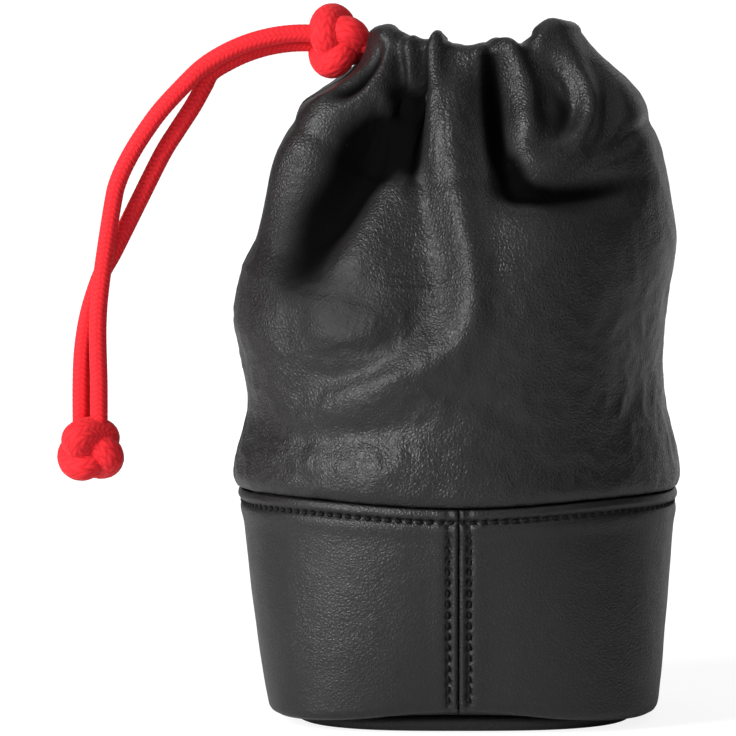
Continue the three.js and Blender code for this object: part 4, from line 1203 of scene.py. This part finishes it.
class POUCH_OT_cord(PouchOperator):
    """Braid the two free strands and the two runs inside the hem"""

    bl_idname = "pouch.cord"
    bl_label = "Cord"

    def execute(self, context):
        radius = context.scene.pouch_sizes.cord / MM / 2
        half = radius + SHEATH_RISE
        material = finish_named("cord_sheath")
        for outer, name in ((True, "tail_strand_outer"), (False, "tail_strand_inner")):
            path, run = even_line(strand_points(outer), 0.23)
            piece = braided_tube(f"{name}_braid", path, run, (half, half), material)
            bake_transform(piece)
            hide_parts(name)
        for front, side in SIDES:
            panel = upper_panel(front)
            angle = (-1.0 if front else 1.0) * np.radians(np.linspace(*HEM_RUN_DEGS, 64))
            tops = np.array([np.interp(a, panel.angle[-1], panel.wall[-1, :, 2]) for a in angle])
            path, run = even_line(panel.place(angle, tops - HEM_RUN_DEPTH, -HEM_HALF), 0.5)
            node = f"drawstring_{side}_run"
            piece = braided_tube(f"{node}_braid", path, run, (HEM_CORD, HEM_CORD), material, sides=24)
            keep_on_lip(front, piece, "cord", node)
        return {"FINISHED"}


class POUCH_OT_upper(PouchOperator):
    """Cut, gather and line the two panels of the upper"""

    bl_idname = "pouch.upper"
    bl_label = "Upper"

    def execute(self, context):
        for front, side in SIDES:
            panel = upper_panel(front)
            self.leather(panel, front, side)
            self.lining(panel, front, side)
        return {"FINISHED"}

    @staticmethod
    def leather(panel, front, side):
        outer = panel.hem()
        inner = outer - normals_of(outer) * UPPER_LEATHER
        # Painted shade on the outer wall only, none on the crown and the flap
        painted_shade = np.zeros((2, *outer.shape[:2]))
        painted_shade[0, :panel.LEVELS] = panel.painted_shade
        piece = new_piece(f"upper_{side}_leather", *thin_body(outer, inner), finish_named("upper_leather"),
                          painted_shade=painted_shade.ravel())
        keep_on_lip(front, piece, "leather", f"upper_{side}_panel")

    @staticmethod
    def lining(panel, front, side):
        top_row = panel.row_at(HEM_FOOT - LINING_BELOW_HEM)
        inward = panel.normal[4:top_row:3, 2:-2:3]
        outer = panel.wall[4:top_row:3, 2:-2:3] - inward * (UPPER_LEATHER + 0.5)
        inner = outer - inward * LINING
        piece = new_piece(f"upper_{side}_lining_cloth", *thin_body(outer, inner),
                          finish_named("lining_cloth"))
        keep_on_lip(front, piece, "lining", f"upper_{side}_lining")


class POUCH_OT_band(PouchOperator):
    """Shape the band's two leather panels and the sole"""

    bl_idname = "pouch.band"
    bl_label = "Band and Sole"

    def execute(self, context):
        for centre, name in BAND_HALVES:
            outer = band_panel_grid(centre)
            inner = outer - normals_of(outer) * BAND_LEATHER
            piece = new_piece(f"band_{name}_leather", *thin_body(outer, inner), finish_named("band_leather"))
            keep_on("base", piece, "leather", f"band_{name}_panel")
        sole = new_piece("base_sole_leather", *layer_disc(SOLE_EDGE, SOLE_LEVELS),
                         finish_named("sole_leather"))
        keep_on("base", sole, "leather", "base_sole")
        return {"FINISHED"}


class POUCH_OT_inside(PouchOperator):
    """Fill the band and the base with board, padding and lining"""

    bl_idname = "pouch.inside"
    bl_label = "Inside"

    def execute(self, context):
        board = frame["nodes"]["base_stiffener"]
        board.data.materials.clear()
        board.data.materials.append(finish_named("stiffener_board"))
        left, right, depth, square = band_sizes(np.array(8.0))
        inset = BAND_LEATHER + 0.6
        edge = (left - inset, right - inset, depth - inset, square)
        low, high = (corner.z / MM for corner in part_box("base_foam"))
        levels = ((low + 0.1, 0.9), (low + 0.3, 0.3), (low + 1.0, 0.0), (high - 1.0, 0.0), (high - 0.3, 0.4),
                  (high, 1.4))
        pad = new_piece("base_padding", *layer_disc(edge, levels), finish_named("padding_foam"))
        keep_on("base", pad, "foam", "base_foam")
        low, high = (corner.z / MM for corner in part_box("base_lining"))
        levels = ((low + 0.05, 0.3), (low + 0.2, 0.0), (high - 0.2, 0.0), (high, 0.3))
        sheet = new_piece("base_lining_cloth", *layer_disc(edge, levels), finish_named("lining_cloth"))
        keep_on("base", sheet, "lining", "base_lining")
        self.wall_padding(high + 0.6)
        self.wall_lining(high + 0.6)
        return {"FINISHED"}

    @staticmethod
    def wall_padding(foot):
        """The padding of the band's wall, thinner towards its edges, from a height upwards."""
        rows, columns = 24, 90
        z = np.linspace(foot, SEAM - 1.0, rows)[:, None]
        up = np.linspace(-1.0, 1.0, rows)[:, None]
        across = np.linspace(-1.0, 1.0, columns)[None, :]
        middle = BAND_LEATHER + LAYER_GAP + WALL_PADDING / 2 + 0.2
        half = 0.3 + (WALL_PADDING / 2 - 0.4) * (1 - up ** 8) * (1 - across ** 12)
        for centre, name in BAND_HALVES:
            reach = pi / 2 - PADDING_GAP
            angle = np.linspace(centre - reach, centre + reach, columns)[None, :]
            outer, inner = (band_surface(angle, z, middle + side * half) for side in (-1, 1))
            pad = new_piece(f"band_{name}_padding", *thin_body(outer, inner), finish_named("padding_foam"))
            keep_on("base", pad, "foam", f"band_{name}_foam")

    @staticmethod
    def wall_lining(foot):
        """The lining inside the padding, from a height to a little above the seam."""
        angle = np.linspace(0.0, 2 * pi, 180, endpoint=False)[None, :]
        z = np.linspace(foot, SEAM + 2.6, 26)[:, None]
        inset = BAND_LEATHER + WALL_PADDING + 2 * LAYER_GAP
        outer, inner = (band_surface(angle, z, inset + deeper) for deeper in (0.0, LINING))
        sheet = new_piece("band_lining_cloth", *thin_body(outer, inner, wrap=True),
                          finish_named("lining_cloth"))
        keep_on("base", sheet, "lining", "band_lining")


class POUCH_OT_stitches(PouchOperator):
    """Sew the rows of stitches on the band and the upper"""

    bl_idname = "pouch.stitches"
    bl_label = "Stitches"

    def execute(self, context):
        rows = [(on_band(np.linspace(0.0, 2 * pi, 361), EDGE_ROW, -BAND_SUNK), True)]
        below = np.linspace(SEAM_ROW_TOP, SEAM_ROW_FOOT, 60)
        for middle in (-pi / 2, pi / 2):
            for side in (-1.0, 1.0):
                turn = middle + side * SEAM_ROW_TURN + 0 * below
                rows.append((on_band(turn, below, -BAND_SUNK), False))
        piece = self.sew("band_stitches", rows)
        keep_on("base", piece, "thread", "band_edge_stitching", "front_seam_stitching_left",
                "front_seam_stitching_right", "back_seam_stitching_left", "back_seam_stitching_right")
        for front, side in SIDES:
            panel = upper_panel(front)
            sign = -1.0 if front else 1.0
            angle = sign * np.radians(np.linspace(4.0, 172.0, 120))
            rows = [(panel.place(angle, panel.case_height(angle), -CASING_SUNK), False)]
            for right, top in ((True, SIDE_ROW_TOP_RIGHT), (False, SIDE_ROW_TOP_LEFT)):
                heights = np.linspace(SIDE_ROW_FOOT, top, 90)
                away = SIDE_ROW / np.interp(heights, UPPER_ROWS[:, 0], UPPER_ROWS[:, 2 if right else 1])
                turn = away if right else pi - away
                rows.append((panel.place(sign * turn, heights, -SIDE_SUNK), False))
            piece = self.sew(f"upper_{side}_stitches", rows)
            keep_on_lip(front, piece, "thread", f"casing_stitching_{side}",
                        f"side_seam_stitching_{side}_left", f"side_seam_stitching_{side}_right")
        return {"FINISHED"}

    @staticmethod
    def stitch_tree():
        """Stitches along lines: the line's points become short rounded threads."""
        if "sewn_rows" in bpy.data.node_groups:
            return bpy.data.node_groups["sewn_rows"]
        tree = bpy.data.node_groups.new("sewn_rows", "GeometryNodeTree")
        face = tree.interface
        face.new_socket("Lines", in_out="INPUT", socket_type="NodeSocketGeometry")
        for label in ("Pitch", "Length", "Thread"):
            face.new_socket(label, in_out="INPUT", socket_type="NodeSocketFloat")
        face.new_socket("Finish", in_out="INPUT", socket_type="NodeSocketMaterial")
        face.new_socket("Stitches", in_out="OUTPUT", socket_type="NodeSocketGeometry")
        get = add_node(tree, "NodeGroupInput").outputs
        lines = add_node(tree, "GeometryNodeMeshToCurve", None, {"Mesh": get["Lines"]})
        spots = add_node(tree, "GeometryNodeCurveToPoints", None,
                         {"Curve": lines.outputs[0], "Length": get["Pitch"]}, mode="LENGTH")
        bead = add_node(tree, "GeometryNodeMeshUVSphere", {"Segments": 8, "Rings": 6, "Radius": 0.5})
        size = add_node(tree, "ShaderNodeCombineXYZ", None,
                        {"X": get["Thread"], "Y": get["Thread"], "Z": get["Length"]})
        sewn = add_node(tree, "GeometryNodeInstanceOnPoints", None,
                        {"Points": spots.outputs["Points"], "Instance": bead.outputs["Mesh"],
                         "Rotation": spots.outputs["Rotation"], "Scale": size.outputs[0]})
        whole = add_node(tree, "GeometryNodeRealizeInstances", None, {"Geometry": sewn.outputs[0]})
        smooth = add_node(tree, "GeometryNodeSetShadeSmooth", None, {"Geometry": whole.outputs[0]})
        painted = add_node(tree, "GeometryNodeSetMaterial", None,
                           {"Geometry": smooth.outputs[0], "Material": get["Finish"]})
        add_node(tree, "NodeGroupOutput", None, {0: painted.outputs[0]})
        return tree

    def sew(self, name, rows):
        """One mesh of stitches along rows of points in millimetres; each row says if it is a ring."""
        sizes = bpy.context.scene.pouch_sizes
        points, edges = [], []
        for row, ring in rows:
            first = len(points)
            line = row[:-1] if ring else row
            points += (line * MM).tolist()
            edges += [(first + k, first + k + 1) for k in range(len(line) - 1)]
            if ring:
                edges.append((first + len(line) - 1, first))
        mesh = bpy.data.meshes.new(f"{name}_lines")
        mesh.from_pydata(points, edges, [])
        lines = new_object(f"{name}_lines", mesh)
        tree = self.stitch_tree()
        modifier = lines.modifiers.new("sewn_rows", "NODES")
        modifier.node_group = tree
        values = {"Pitch": sizes.stitch_pitch, "Length": sizes.stitch_length, "Thread": sizes.thread,
                  "Finish": finish_named("sewing_thread")}
        for item in tree.interface.items_tree:
            if item.in_out == "INPUT" and item.name in values:
                modifier[item.identifier] = values[item.name]
        graph = bpy.context.evaluated_depsgraph_get()
        sewn = bpy.data.meshes.new_from_object(lines.evaluated_get(graph), depsgraph=graph)
        sewn.name = name
        bpy.data.objects.remove(lines)
        return new_object(name, sewn)


STEPS = (POUCH_OT_stage, POUCH_OT_knots, POUCH_OT_cord, POUCH_OT_upper, POUCH_OT_band, POUCH_OT_inside,
         POUCH_OT_stitches)


class POUCH_PT_sidebar(bpy.types.Panel):
    """Steps of the pouch, with its sizes and colours"""

    bl_idname = "POUCH_PT_sidebar"
    bl_label = "Lens Pouch"
    bl_space_type = "VIEW_3D"
    bl_region_type = "UI"
    bl_category = "Pouch"

    def draw(self, context):
        for step in STEPS:
            self.layout.operator(step.bl_idname)
        for group in (context.scene.pouch_sizes, context.scene.pouch_colours):
            for name in group.__annotations__:
                self.layout.prop(group, name)


CLASSES = (PouchSizes, PouchColours, *STEPS, POUCH_PT_sidebar)


def register():
    for cls in CLASSES:
        bpy.utils.register_class(cls)
    bpy.types.Scene.pouch_sizes = PointerProperty(type=PouchSizes)
    bpy.types.Scene.pouch_colours = PointerProperty(type=PouchColours)


def unregister():
    del bpy.types.Scene.pouch_colours
    del bpy.types.Scene.pouch_sizes
    for cls in reversed(CLASSES):
        bpy.utils.unregister_class(cls)


def main():
    register()
    for step in STEPS:
        group, name = step.bl_idname.split(".")
        if getattr(getattr(bpy.ops, group), name)() != {"FINISHED"}:
            raise RuntimeError(f"the step {step.bl_label} didn't finish")


if __name__ == "__main__":
    main()
